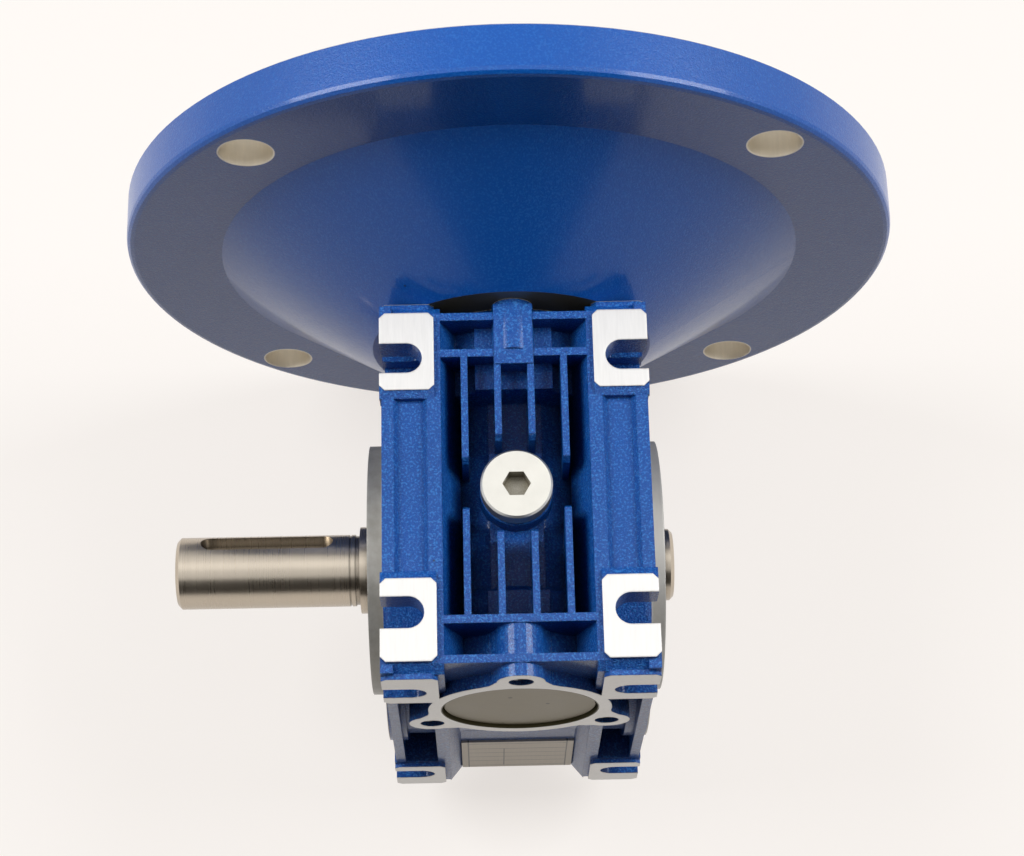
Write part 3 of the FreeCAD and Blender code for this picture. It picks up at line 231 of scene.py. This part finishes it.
class PaintSettings(bpy.types.PropertyGroup):
    colour: bpy.props.FloatVectorProperty(
        name="Paint colour", description="Colour of the blue paint", subtype="COLOR",
        size=3, min=0.0, max=1.0, default=(0.0005, 0.087, 0.42))
    grain: bpy.props.FloatProperty(
        name="Cast grain", description="Size of the grains of the painted casting",
        default=0.00038, unit="LENGTH")
    grain_height: bpy.props.FloatProperty(
        name="Grain height", description="Height of the grains of the painted casting",
        default=0.00050, unit="LENGTH")
    peel: bpy.props.FloatProperty(
        name="Orange peel", description="Size of the waves in the paint",
        default=0.0016, unit="LENGTH")
    edge: bpy.props.FloatProperty(
        name="Edge softness", description="Radius at which the cast edges look rounded",
        default=0.0005, unit="LENGTH")
    peel_height: bpy.props.FloatProperty(
        name="Peel height", description="Height of the waves in the paint",
        default=0.00003, unit="LENGTH")


class MetalSettings(bpy.types.PropertyGroup):
    machined: bpy.props.FloatVectorProperty(
        name="Machined aluminium", description="Colour of the milled faces", subtype="COLOR",
        size=3, min=0.0, max=1.0, default=(0.75, 0.735, 0.71))
    steel: bpy.props.FloatVectorProperty(
        name="Ground steel", description="Colour of the shafts", subtype="COLOR",
        size=3, min=0.0, max=1.0, default=(0.56, 0.49, 0.40))
    zinc: bpy.props.FloatVectorProperty(
        name="Zinc plating", description="Colour of the filler plug and cover screws",
        subtype="COLOR", size=3, min=0.0, max=1.0, default=(0.70, 0.68, 0.62))


class StudioSettings(bpy.types.PropertyGroup):
    tilt: bpy.props.FloatProperty(
        name="Camera height", description="Angle of the camera over the horizon",
        default=math.radians(68.8797), subtype="ANGLE", unit="ROTATION")
    turn: bpy.props.FloatProperty(
        name="Camera turn", description="Turn of the camera round the object",
        default=math.radians(2.3166), subtype="ANGLE", unit="ROTATION")
    roll: bpy.props.FloatProperty(
        name="Camera roll", description="Roll of the camera about its own line of sight",
        default=math.radians(-1.1023), subtype="ANGLE", unit="ROTATION")
    aim: bpy.props.FloatVectorProperty(
        name="Origin seen by the camera",
        description="The object's origin in the camera's own axes",
        size=3, default=(0.0005517, -0.0310063, 0.5323576), unit="LENGTH")
    lens: bpy.props.FloatProperty(name="Lens", description="Focal length in mm", default=84.19)
    floor: bpy.props.FloatVectorProperty(
        name="Floor", description="Colour of the floor", subtype="COLOR",
        size=3, min=0.0, max=1.0, default=(0.22, 0.218, 0.215))
    paper: bpy.props.FloatVectorProperty(
        name="Paper glow", description="White that the floor shows to the camera and to mirrors",
        subtype="COLOR", size=3, min=0.0, max=1.0, default=(0.74, 0.70, 0.665))


def settings():
    """The settings of the paint, the metals and the studio."""
    scene = bpy.context.scene
    return scene.reducer_paint, scene.reducer_metal, scene.reducer_studio


# Finishes

def blue_paint(name, bare, cast, milled_metal):
    """Glossy blue paint with bare machined metal where the mask says so.

    bare takes the Paint and its three axes and gives the mask of the bare metal and the
    share by which the bare metal is darkened: painted shade on faces that lie in shade, and
    darker streaks or an even darkening on the others. cast is 1 for the grain of a casting
    under the paint and 0 for smooth paint. The blue also carries painted glints on the grain
    and painted shade in its corners.
    """
    look, _, _ = settings()
    paint = Paint(name, look.colour, 0.3)
    x, y, z = paint.axes()
    mask, shade_and_darkening = bare(paint, x, y, z)
    colour = tuple(look.colour)
    shade = paint.noise(20.0 * MM, 2.0)
    speckle = paint.noise(look.grain, 3.0, 0.55)
    deep = scaled(colour, 0.55 if cast else 0.8)
    blue = paint.mix(shade * 0.4 + speckle * 0.6, deep, scaled(colour, 1.1))
    # Painted glints: bright blue specks painted into the base colour where the cast grain would
    # catch light, strong on the casting and faint on smooth paint.
    painted_glint = paint.noise(look.grain * 1.2, 2.0, 0.5).above(0.57, 0.07)
    glint_colour = (colour[0] + 0.03, colour[1] * 2.4, colour[2] * 1.45)
    blue = paint.mix(painted_glint * (0.8 if cast else 0.25), blue, glint_colour)
    chips = paint.specks(9.0 * MM, 0.035) * paint.noise(30.0 * MM, 2.0).above(0.56, 0.04)
    blue = paint.mix(chips * 0.8, blue, (0.012, 0.014, 0.022))
    lines = paint.noise(0.6 * MM, 3.0, 0.6, (1.0, 0.08, 1.0))
    clean = paint.mix(lines, scaled(milled_metal, 0.82), milled_metal)
    # Dark brown toward which the bare metal goes by the share from bare: painted shade in the rear
    # bore and on the flange's neck face, which lie in shade, and darker streaks or an even
    # darkening on the side faces.
    milled = paint.mix(shade_and_darkening, clean, (0.05, 0.042, 0.015))
    # Painted shade: the blue darkens to a fifth of its colour in corners and recesses narrower
    # than 9 mm; the same mask thins the coat there.
    unshaded = paint.crevice(9.0 * MM)
    blue = paint.mix(unshaded.above(0.22, 0.18), scaled(colour, 0.2), blue)
    paint.set("Base Color", paint.mix(mask, blue, milled))
    paint.set("Metallic", mask * 0.6)
    gloss = 0.27 + 0.08 * paint.noise(4.0 * MM, 2.0)
    paint.set("Roughness", gloss + mask * (0.2 + 0.1 * lines))
    paint.set("Coat Weight", 0.38 * unshaded.above(0.4, 0.35))
    paint.shader.inputs["Specular IOR Level"].default_value = 0.25
    paint.shader.inputs["Coat Roughness"].default_value = 0.12
    painted = 1.0 - mask
    edges = paint.soft_edges(look.edge if cast else look.edge * 0.6)
    waves = paint.noise(look.peel, 2.0, 0.45)
    grain_height = look.grain_height if cast else look.grain_height * 0.2
    peel = paint.bump(waves * painted, look.peel_height, edges)
    grain = paint.bump(speckle * painted, grain_height, peel)
    paint.set("Normal", paint.bump(lines * mask, 0.008 * MM, grain))
    return paint.material


def from_worm_axis(x, z):
    """The distance from the worm's axis."""
    rise = z - CENTRE_DISTANCE
    return (x * x + rise * rise).root()


def casing_bare(paint, x, y, z):
    """The casing's machined feet, faces, pilots and rear bore, with painted shade in the rear bore
    and darker streaks on the side faces.
    """
    on_feet = abs(x).above(PAD_INNER - 0.3 * MM, 0.05 * MM)
    top = z.above(TOP_HEIGHT - 0.07 * MM, 0.03 * MM) * on_feet
    bottom = (0.0 - z).above(FOOT_DEPTH - 0.07 * MM, 0.03 * MM)
    ends = abs(y).above(BODY_HALF_LENGTH - 0.07 * MM, 0.03 * MM)
    sides = abs(x).above(OUTPUT_FACE - 0.15 * MM, 0.05 * MM)
    near_axis = 1.0 - from_worm_axis(x, z).above(REAR_BORE + 0.2 * MM, 0.05 * MM)
    bore = near_axis * abs(y).above(BODY_HALF_LENGTH - 4.0 * MM, 0.1 * MM)
    streaks = paint.noise(4.0 * MM, 3.0, 0.6, (1.0, 1.0, 0.15))
    bare = top.top(bottom).top(ends).top(sides).top(bore)
    # Painted shade: the rear bore wall, in the groove round the end cap, goes dark; the side faces
    # get darker streaks.
    return bare, bore.top(sides * (0.35 + 0.4 * streaks))


def cover_bare(paint, x, y, z):
    """The side cover's machined outer face, and the even share by which it is darkened."""
    return x.above(OUTPUT_FACE - 0.3 * MM, 0.05 * MM), 0.35


def flange_bare(paint, x, y, z):
    """The flange's bolt holes, pilot recess, motor face and neck face, and the painted shade on
    the neck face.
    """
    along = abs(x) - MOTOR_BOLT_OFFSET
    across = abs(z - CENTRE_DISTANCE) - MOTOR_BOLT_OFFSET
    reach = MOTOR_BOLT_RADIUS + 0.25 * MM
    hole = 1.0 - (along * along + across * across).above(reach ** 2, 1.5 * MM * MM)
    motor_side = y.above(FLANGE_BACK - MOTOR_PILOT_DEPTH - 0.2 * MM, 0.05 * MM)
    inside = 1.0 - from_worm_axis(x, z).above(MOTOR_PILOT + 0.25 * MM, 0.1 * MM)
    face = y.above(FLANGE_BACK - 0.1 * MM, 0.04 * MM)
    at_casing = 1.0 - y.above(BODY_HALF_LENGTH + 0.04 * MM, 0.02 * MM)
    neck_half_width = 26.0 * MM
    neck = at_casing * (1.0 - abs(x).above(neck_half_width, 0.1 * MM))
    # The neck face against the casing lies in shade; its darkening is painted shade.
    return hole.top(motor_side * inside).top(face).top(neck), neck * 0.9


def turned_steel(name, colour, axis, roughness=0.24):
    """Ground metal with fine rings round its axis, which is x or y, and painted shade in its
    corners.
    """
    paint = Paint(name, colour, roughness, 1.0)
    stretch = {"x": (1.0, 0.01, 0.01), "y": (0.01, 1.0, 0.01)}[axis]
    rings = paint.noise(0.4 * MM, 3.0, 0.6, stretch)
    cloud = paint.noise(12.0 * MM, 3.0)
    clean = paint.mix(rings * 0.6 + cloud * 0.4, scaled(colour, 0.78), colour)
    # Painted shade: the steel darkens to under a third of its colour in corners narrower than 3
    # mm.
    unshaded = paint.crevice(3.0 * MM).above(0.62, 0.25)
    paint.set("Base Color", paint.mix(unshaded, scaled(colour, 0.3), clean))
    paint.set("Roughness", roughness - 0.06 + 0.16 * rings + 0.06 * cloud)
    paint.set("Normal", paint.bump(rings, 0.004 * MM))
    return paint.material


def plated(name, colour, roughness=0.38):
    """Cast or plated metal with a fine satin grain and painted shade in its corners."""
    paint = Paint(name, colour, roughness, 1.0)
    grain = paint.noise(0.3 * MM, 4.0, 0.65)
    cloud = paint.noise(5.0 * MM, 3.0)
    clean = paint.mix(cloud * 0.7 + grain * 0.3, scaled(colour, 0.8), colour)
    # Painted shade: dark brown in corners, sockets and gaps narrower than 5 mm.
    unshaded = paint.crevice(5.0 * MM).above(0.5, 0.35)
    paint.set("Base Color", paint.mix(unshaded, (0.09, 0.075, 0.04), clean))
    paint.set("Roughness", roughness - 0.08 + 0.14 * grain + 0.06 * cloud)
    paint.set("Normal", paint.bump(grain, 0.01 * MM))
    return paint.material


def rubber(name):
    """Black seal rubber with a little dust."""
    paint = Paint(name, (0.018, 0.018, 0.02), 0.55)
    grain = paint.noise(0.4 * MM, 3.0)
    dust = paint.noise(6.0 * MM, 3.0)
    paint.set("Base Color", paint.mix(dust, (0.012, 0.012, 0.013), (0.035, 0.034, 0.033)))
    paint.set("Roughness", 0.45 + 0.2 * grain)
    paint.set("Normal", paint.bump(grain, 0.01 * MM))
    return paint.material


def cap_finish():
    """The dull grey-olive end cap with a few dark marks."""
    paint = Paint("end_cap_coating", (0.24, 0.20, 0.13), 0.42, 0.25)
    cloud = paint.noise(6.0 * MM, 4.0, 0.6)
    grain = paint.noise(0.5 * MM, 3.0)
    marks = paint.specks(4.2 * MM, 0.11) * paint.noise(11.0 * MM, 2.0).above(0.52, 0.03)
    colour = paint.mix(cloud, (0.20, 0.165, 0.10), (0.31, 0.265, 0.18))
    paint.set("Base Color", paint.mix(marks * 0.85, colour, (0.02, 0.02, 0.02)))
    paint.set("Roughness", 0.36 + 0.16 * cloud)
    paint.set("Normal", paint.bump(cloud * 0.6 + grain * 0.4, 0.02 * MM))
    return paint.material


def plate_finish():
    """A bare plate with ruled boxes and no letters."""
    paint = Paint("plate_print", (0.5, 0.44, 0.35), 0.4, 0.3)
    x, y, z = paint.axes()
    low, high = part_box("nameplate")
    across = (x - low[0]) / (high[0] - low[0])
    rise = (z - low[2]) / (high[2] - low[2])

    def rule(signal, at, half):
        return 1.0 - abs(signal - at).above(half, half * 0.3)

    half_width, half_height = 0.44, 0.43
    aside, away = abs(across - 0.5), abs(rise - 0.5)
    inside = 1.0 - aside.above(half_width, 0.002).top(away.above(half_height, 0.002))
    border = rule(aside, half_width, 0.006).top(rule(away, half_height, 0.006))
    border = border * (1.0 - aside.above(half_width + 0.01, 0.002))
    rows = rule(rise, 0.74, 0.006)
    for place in (0.58, 0.42, 0.26):
        rows = rows.top(rule(rise, place, 0.005))
    divider = rule(across, 0.38, 0.005) * (1.0 - rise.above(0.74, 0.004))
    ink = (rows.top(divider) * inside).top(border)
    grain = paint.noise(0.5 * MM, 3.0, 0.6, (1.0, 1.0, 0.05))
    sheet = paint.mix(grain, (0.42, 0.36, 0.28), (0.56, 0.50, 0.41))
    paint.set("Base Color", paint.mix(ink * 0.85, sheet, (0.05, 0.045, 0.04)))
    paint.set("Roughness", 0.36 + 0.15 * grain)
    paint.set("Normal", paint.bump(grain, 0.004 * MM))
    return paint.material


# Small pieces

def new_object(name, data):
    """An object of the scene for the given mesh, lamp or camera."""
    made = bpy.data.objects.new(name, data)
    bpy.context.scene.collection.objects.link(made)
    return made


def finished_mesh(made, name):
    """The mesh of a finished bmesh."""
    mesh = bpy.data.meshes.new(name)
    made.to_mesh(mesh)
    made.free()
    return mesh


def square_sheet(name, half_side, paint):
    """A flat square for the stage, still at the origin."""
    made = bmesh.new()
    bmesh.ops.create_grid(made, x_segments=1, y_segments=1, size=half_side)
    mesh = finished_mesh(made, name)
    mesh.materials.append(paint.material)
    return new_object(name, mesh)


def new_piece(name, mesh, material, body, smooth=True):
    """A piece that rides on a body and keeps to one of the finish slots."""
    piece = new_object(name, mesh)
    mesh.materials.append(material)
    for face in mesh.polygons:
        face.use_smooth = smooth
    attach(piece, body)


def tapped_thread(name, mouth, axis, radius, material):
    """The cut thread inside a tapped hole, as a turned helix of ridges."""
    outer, inner, pitch = radius - 0.01 * MM, radius - 0.38 * MM, 1.0 * MM
    turns, steps, lead_in = 8, 28, 0.35 * MM
    profile = ((outer, 0.0), (inner, 0.42), (inner, 0.58), (outer, 1.0))
    facing = Vector(axis).to_track_quat("Z", "Y").to_matrix()
    made = bmesh.new()
    previous = None
    for k in range(turns * steps + 1):
        angle = 2 * math.pi * k / steps
        sink = -(k / steps) * pitch - lead_in
        row = []
        for reach, shift in profile:
            spot = Vector((reach * math.cos(angle), reach * math.sin(angle), sink - shift * pitch))
            row.append(made.verts.new(Vector(mouth) + facing @ spot))
        if previous:
            for j in range(3):
                made.faces.new((previous[j], previous[j + 1], row[j + 1], row[j]))
        previous = row
    new_piece(name, finished_mesh(made, name), material, "casing")


def cross_rib(name, side, material):
    """One half of the inner cross rib at the flange's end, from a rail to the long boss.

    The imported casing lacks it. It has the other cross ribs' section, and its top lies a hair
    under the rails and the long ribs, so that no two faces share a plane.
    """
    boss, rail = BAR_HALF_WIDTH - 0.5 * MM, RAIL_INNER + 0.3 * MM
    middle = BODY_HALF_LENGTH - CROSS_RIB_INSET
    near, far = middle - CROSS_RIB_WIDTH / 2, middle + CROSS_RIB_WIDTH / 2
    foot, top = 46.5 * MM, TOP_HEIGHT - PAD_RELIEF - 0.03 * MM
    made = bmesh.new()
    outline = [(near, foot), (far, foot), (far, top), (near, top)]
    ends = [[made.verts.new((side * x, y, z)) for y, z in outline] for x in (boss, rail)]
    for k in range(4):
        after = (k + 1) % 4
        made.faces.new((ends[0][k], ends[0][after], ends[1][after], ends[1][k]))
    made.faces.new(ends[0])
    made.faces.new(ends[1])
    bmesh.ops.recalc_face_normals(made, faces=made.faces)
    mesh = finished_mesh(made, name)
    new_piece(name, mesh, material, "casing", smooth=False)


def circle_places(circle, centre, angles, axis):
    """Points on a circle about the x or y axis through centre. circle is its diameter."""
    reach = circle / 2
    places = []
    for angle in angles:
        c, s = reach * math.cos(math.radians(angle)), reach * math.sin(math.radians(angle))
        offset = Vector((0, c, s)) if axis == "x" else Vector((c, 0, s))
        places.append(Vector(centre) + offset)
    return places


# Operators

class ReducerOperator:
    bl_options = {"REGISTER", "UNDO"}


class REDUCER_OT_casing(ReducerOperator, bpy.types.Operator):
    """Paints the casing, its added cross rib and its side cover, all but the machined faces"""
    bl_idname = "reducer.casing"
    bl_label = "Casing"

    def execute(self, context):
        _, metal, _ = settings()
        machined = tuple(metal.machined)
        paint = blue_paint("casing_paint", casing_bare, 1, machined)
        dress(paint, "housing")
        for side, name in ((-1, "left"), (1, "right")):
            cross_rib(f"{name}_cross_rib", side, paint)
        dress(blue_paint("cover_paint", cover_bare, 1, machined), "output_cover")
        return {"FINISHED"}


class REDUCER_OT_flange(ReducerOperator, bpy.types.Operator):
    """Paints the motor flange and leaves its holes and motor face bare"""
    bl_idname = "reducer.flange"
    bl_label = "Motor flange"

    def execute(self, context):
        warm_metal = (0.92, 0.85, 0.72)
        dress(blue_paint("flange_paint", flange_bare, 0, warm_metal), "input_flange")
        return {"FINISHED"}


class REDUCER_OT_shafts(ReducerOperator, bpy.types.Operator):
    """Gives the shafts, the key, the bearings and the wheel rim their turned metal"""
    bl_idname = "reducer.shafts"
    bl_label = "Shafts and bearings"

    def execute(self, context):
        _, metal, _ = settings()
        steel = tuple(metal.steel)
        dress(turned_steel("ground_output_steel", steel, "x"), "output_shaft", "output_shaft_key")
        dress(turned_steel("hollow_shaft_steel", steel, "x", 0.3), "hollow_output_shaft")
        dress(turned_steel("ground_worm_steel", steel, "y"), "worm_shaft")
        bright = tuple(min(1.0, c * 1.25) for c in steel)
        for side in ("left", "right"):
            dress(turned_steel(f"output_bearing_steel_{side}", bright, "x", 0.16),
                  f"output_bearing_{side}_inner_ring", f"output_bearing_{side}_outer_ring")
        for end in ("input", "rear"):
            dress(turned_steel(f"{end}_bearing_steel", bright, "y", 0.16),
                  f"{end}_bearing_inner_ring", f"{end}_bearing_outer_ring")
        bronze = (0.58, 0.37, 0.15)
        dress(turned_steel("wheel_bronze", bronze, "x", 0.3), "worm_wheel_rim")
        return {"FINISHED"}


class REDUCER_OT_fasteners(ReducerOperator, bpy.types.Operator):
    """Finishes the filler plug, the screws, the circlips and the cap"""
    bl_idname = "reducer.fasteners"
    bl_label = "Plug, screws and cap"

    def execute(self, context):
        _, metal, _ = settings()
        zinc = tuple(metal.zinc)
        dress(plated("plug_zinc", zinc), "filler_plug", "filler_plug_washer")
        dress(plated("screw_zinc", scaled(zinc, 0.85), 0.3), "cover_screws")
        dress(plated("black_steel", (0.07, 0.07, 0.075), 0.4), "input_flange_screws",
              "input_bearing_circlip", "rear_bearing_circlip", "output_shaft_circlip")
        dress(cap_finish(), "rear_end_cap")
        return {"FINISHED"}


class REDUCER_OT_seals(ReducerOperator, bpy.types.Operator):
    """Gives the oil seals and the cover's ring their rubber"""
    bl_idname = "reducer.seals"
    bl_label = "Seals"

    def execute(self, context):
        dress(rubber("seal_rubber"), "cover_seal_ring", "input_oil_seal",
              "output_oil_seal_left", "output_oil_seal_right")
        return {"FINISHED"}


class REDUCER_OT_plate(ReducerOperator, bpy.types.Operator):
    """Prints empty ruled boxes on the plate"""
    bl_idname = "reducer.plate"
    bl_label = "Plate"

    def execute(self, context):
        dress(plate_finish(), "nameplate")
        return {"FINISHED"}


class REDUCER_OT_threads(ReducerOperator, bpy.types.Operator):
    """Cuts the threads of the tapped holes in the end face and the side faces"""
    bl_idname = "reducer.threads"
    bl_label = "Threads"

    def execute(self, context):
        bright = plated("thread_metal", (0.5, 0.5, 0.5), 0.3)
        centre = (0, -BODY_HALF_LENGTH, CENTRE_DISTANCE)
        mouths = circle_places(REAR_SCREW_CIRCLE, centre, (90, 210, 330), "y")
        for number, mouth in enumerate(mouths, start=1):
            tapped_thread(f"rear_thread_{number}", mouth, (0, -1, 0), TAPPED_RADIUS, bright)
        for side, name, radius in ((-1, "left", TAPPED_RADIUS), (1, "right", COVER_TAPPED_RADIUS)):
            centre = (side * OUTPUT_FACE, 0, 0)
            mouths = circle_places(SIDE_SCREW_CIRCLE, centre, (0, 90, 180, 270), "x")
            for number, mouth in enumerate(mouths, start=1):
                tapped_thread(f"{name}_thread_{number}", mouth, (side, 0, 0), radius, bright)
        return {"FINISHED"}


class REDUCER_OT_studio(ReducerOperator, bpy.types.Operator):
    """Sets the floor, the dark card, the light and the camera"""
    bl_idname = "reducer.studio"
    bl_label = "Studio"

    def execute(self, context):
        _, _, studio = settings()
        self.floor(studio)
        self.dark_card()
        self.world()
        self.lamps()
        self.camera(studio)
        context.scene.view_settings.view_transform = "Standard"
        return {"FINISHED"}

    def floor(self, studio):
        """Paper that takes the shadow and shows its glow to the camera and to mirrors."""
        paper, glow = tuple(studio.floor), tuple(studio.paper)
        paint = Paint("floor_paper", paper, 0.6)
        fibre = paint.noise(4.0 * MM, 3.0)
        paint.set("Base Color", paint.mix(fibre, scaled(paper, 0.985), paper))
        paint.shader.inputs["Specular IOR Level"].default_value = 0.2
        paint.shader.inputs["Emission Strength"].default_value = 1.0
        paint.set("Emission Color", paint.mix(paint.seen(), (0.0, 0.0, 0.0), glow))
        floor = square_sheet("floor", 4.0, paint)
        floor.location.z = CAD_BOX[0][2] - 0.2 * MM

    def dark_card(self):
        """A dark card low in front of the object, which the curved metal and the paint mirror."""
        away, rise = 0.9, math.radians(27.0)
        paint = Paint("dark_card", (0.02, 0.013, 0.006), 1.0)
        paint.shader.inputs["Specular IOR Level"].default_value = 0.0
        card = square_sheet("dark_card", 0.5, paint)
        card.scale = (0.9, 0.86, 1.0)
        card.location = (0.0, -away * math.cos(rise), away * math.sin(rise))
        card.rotation_euler = (math.radians(90.0) - rise, 0.0, 0.0)

    def world(self):
        """White air to the camera and to mirrors, and a faint light on everything else."""
        world = bpy.data.worlds.new("studio_air")
        bpy.context.scene.world = world
        world.use_nodes = True
        nodes, links = world.node_tree.nodes, world.node_tree.links
        air = nodes["Background"]
        air.inputs["Color"].default_value = (0.985, 0.99, 1.0, 1.0)
        ray = nodes.new("ShaderNodeLightPath")
        seen = ray.outputs["Is Camera Ray"]
        for kind in ("Glossy", "Transmission"):
            either = nodes.new("ShaderNodeMath")
            either.operation = "MAXIMUM"
            links.new(seen, either.inputs[0])
            links.new(ray.outputs[f"Is {kind} Ray"], either.inputs[1])
            seen = either.outputs[0]
        faint, full = 0.06, 1.0
        level = nodes.new("ShaderNodeMapRange")
        level.inputs["To Min"].default_value = faint
        level.inputs["To Max"].default_value = full
        links.new(seen, level.inputs["Value"])
        links.new(level.outputs[0], air.inputs["Strength"])

    def lamps(self):
        """Two soft lamps from the sides and a weak one from above, all aimed at the origin."""
        origin = Vector((0.0, 0.0, 0.0))
        for name, spot, size, power in (
            ("left_lamp", (-0.8, 0.2, 0.85), 0.6, 10.4),
            ("right_lamp", (0.8, 0.2, 0.85), 0.6, 10.4),
            ("top_lamp", (0.0, 0.1, 1.2), 0.5, 0.5),
        ):
            data = bpy.data.lights.new(name, "AREA")
            data.size = size
            data.energy = power
            lamp = new_object(name, data)
            lamp.location = spot
            way = origin - Vector(spot)
            lamp.rotation_euler = way.to_track_quat("-Z", "Y").to_euler()

    def camera(self, studio):
        s, c = math.sin(studio.tilt), math.cos(studio.tilt)
        tilt = Matrix(((1, 0, 0), (0, s, c), (0, c, -s)))
        rows = Matrix.Rotation(studio.roll, 3, "Z") @ tilt @ Matrix.Rotation(studio.turn, 3, "Z")
        right, up, ahead = rows
        spot = -(rows.transposed() @ Vector(studio.aim))
        turn = Matrix((right, up, -ahead)).transposed().to_4x4()
        data = bpy.data.cameras.new("photo_camera")
        data.sensor_fit = "HORIZONTAL"
        data.sensor_width = 36.0
        data.lens = studio.lens
        data.clip_start = 0.01
        data.clip_end = 20.0
        camera = new_object("photo_camera", data)
        camera.matrix_world = Matrix.Translation(spot) @ turn
        bpy.context.scene.camera = camera


OPERATORS = (
    REDUCER_OT_casing, REDUCER_OT_flange, REDUCER_OT_shafts, REDUCER_OT_fasteners,
    REDUCER_OT_seals, REDUCER_OT_plate, REDUCER_OT_threads, REDUCER_OT_studio,
)


class REDUCER_PT_panel(bpy.types.Panel):
    """Lists the reducer's steps and settings"""
    bl_label = "Worm gear reducer"
    bl_idname = "REDUCER_PT_panel"
    bl_space_type = "VIEW_3D"
    bl_region_type = "UI"
    bl_category = "Reducer"

    def draw(self, context):
        layout = self.layout
        for group in settings():
            box = layout.box()
            for name in group.__annotations__:
                box.prop(group, name)
        for operator in OPERATORS:
            layout.operator(operator.bl_idname)


GROUPS = (
    ("reducer_paint", PaintSettings),
    ("reducer_metal", MetalSettings),
    ("reducer_studio", StudioSettings),
)


def register():
    for name, group in GROUPS:
        bpy.utils.register_class(group)
        setattr(bpy.types.Scene, name, bpy.props.PointerProperty(type=group))
    for operator in OPERATORS:
        bpy.utils.register_class(operator)
    bpy.utils.register_class(REDUCER_PT_panel)


def unregister():
    bpy.utils.unregister_class(REDUCER_PT_panel)
    for operator in reversed(OPERATORS):
        bpy.utils.unregister_class(operator)
    for name, group in reversed(GROUPS):
        delattr(bpy.types.Scene, name)
        bpy.utils.unregister_class(group)


def main():
    register()
    bpy.ops.reducer.casing()
    bpy.ops.reducer.flange()
    bpy.ops.reducer.shafts()
    bpy.ops.reducer.fasteners()
    bpy.ops.reducer.seals()
    bpy.ops.reducer.plate()
    bpy.ops.reducer.threads()
    bpy.ops.reducer.studio()


if __name__ == "__main__":
    main()
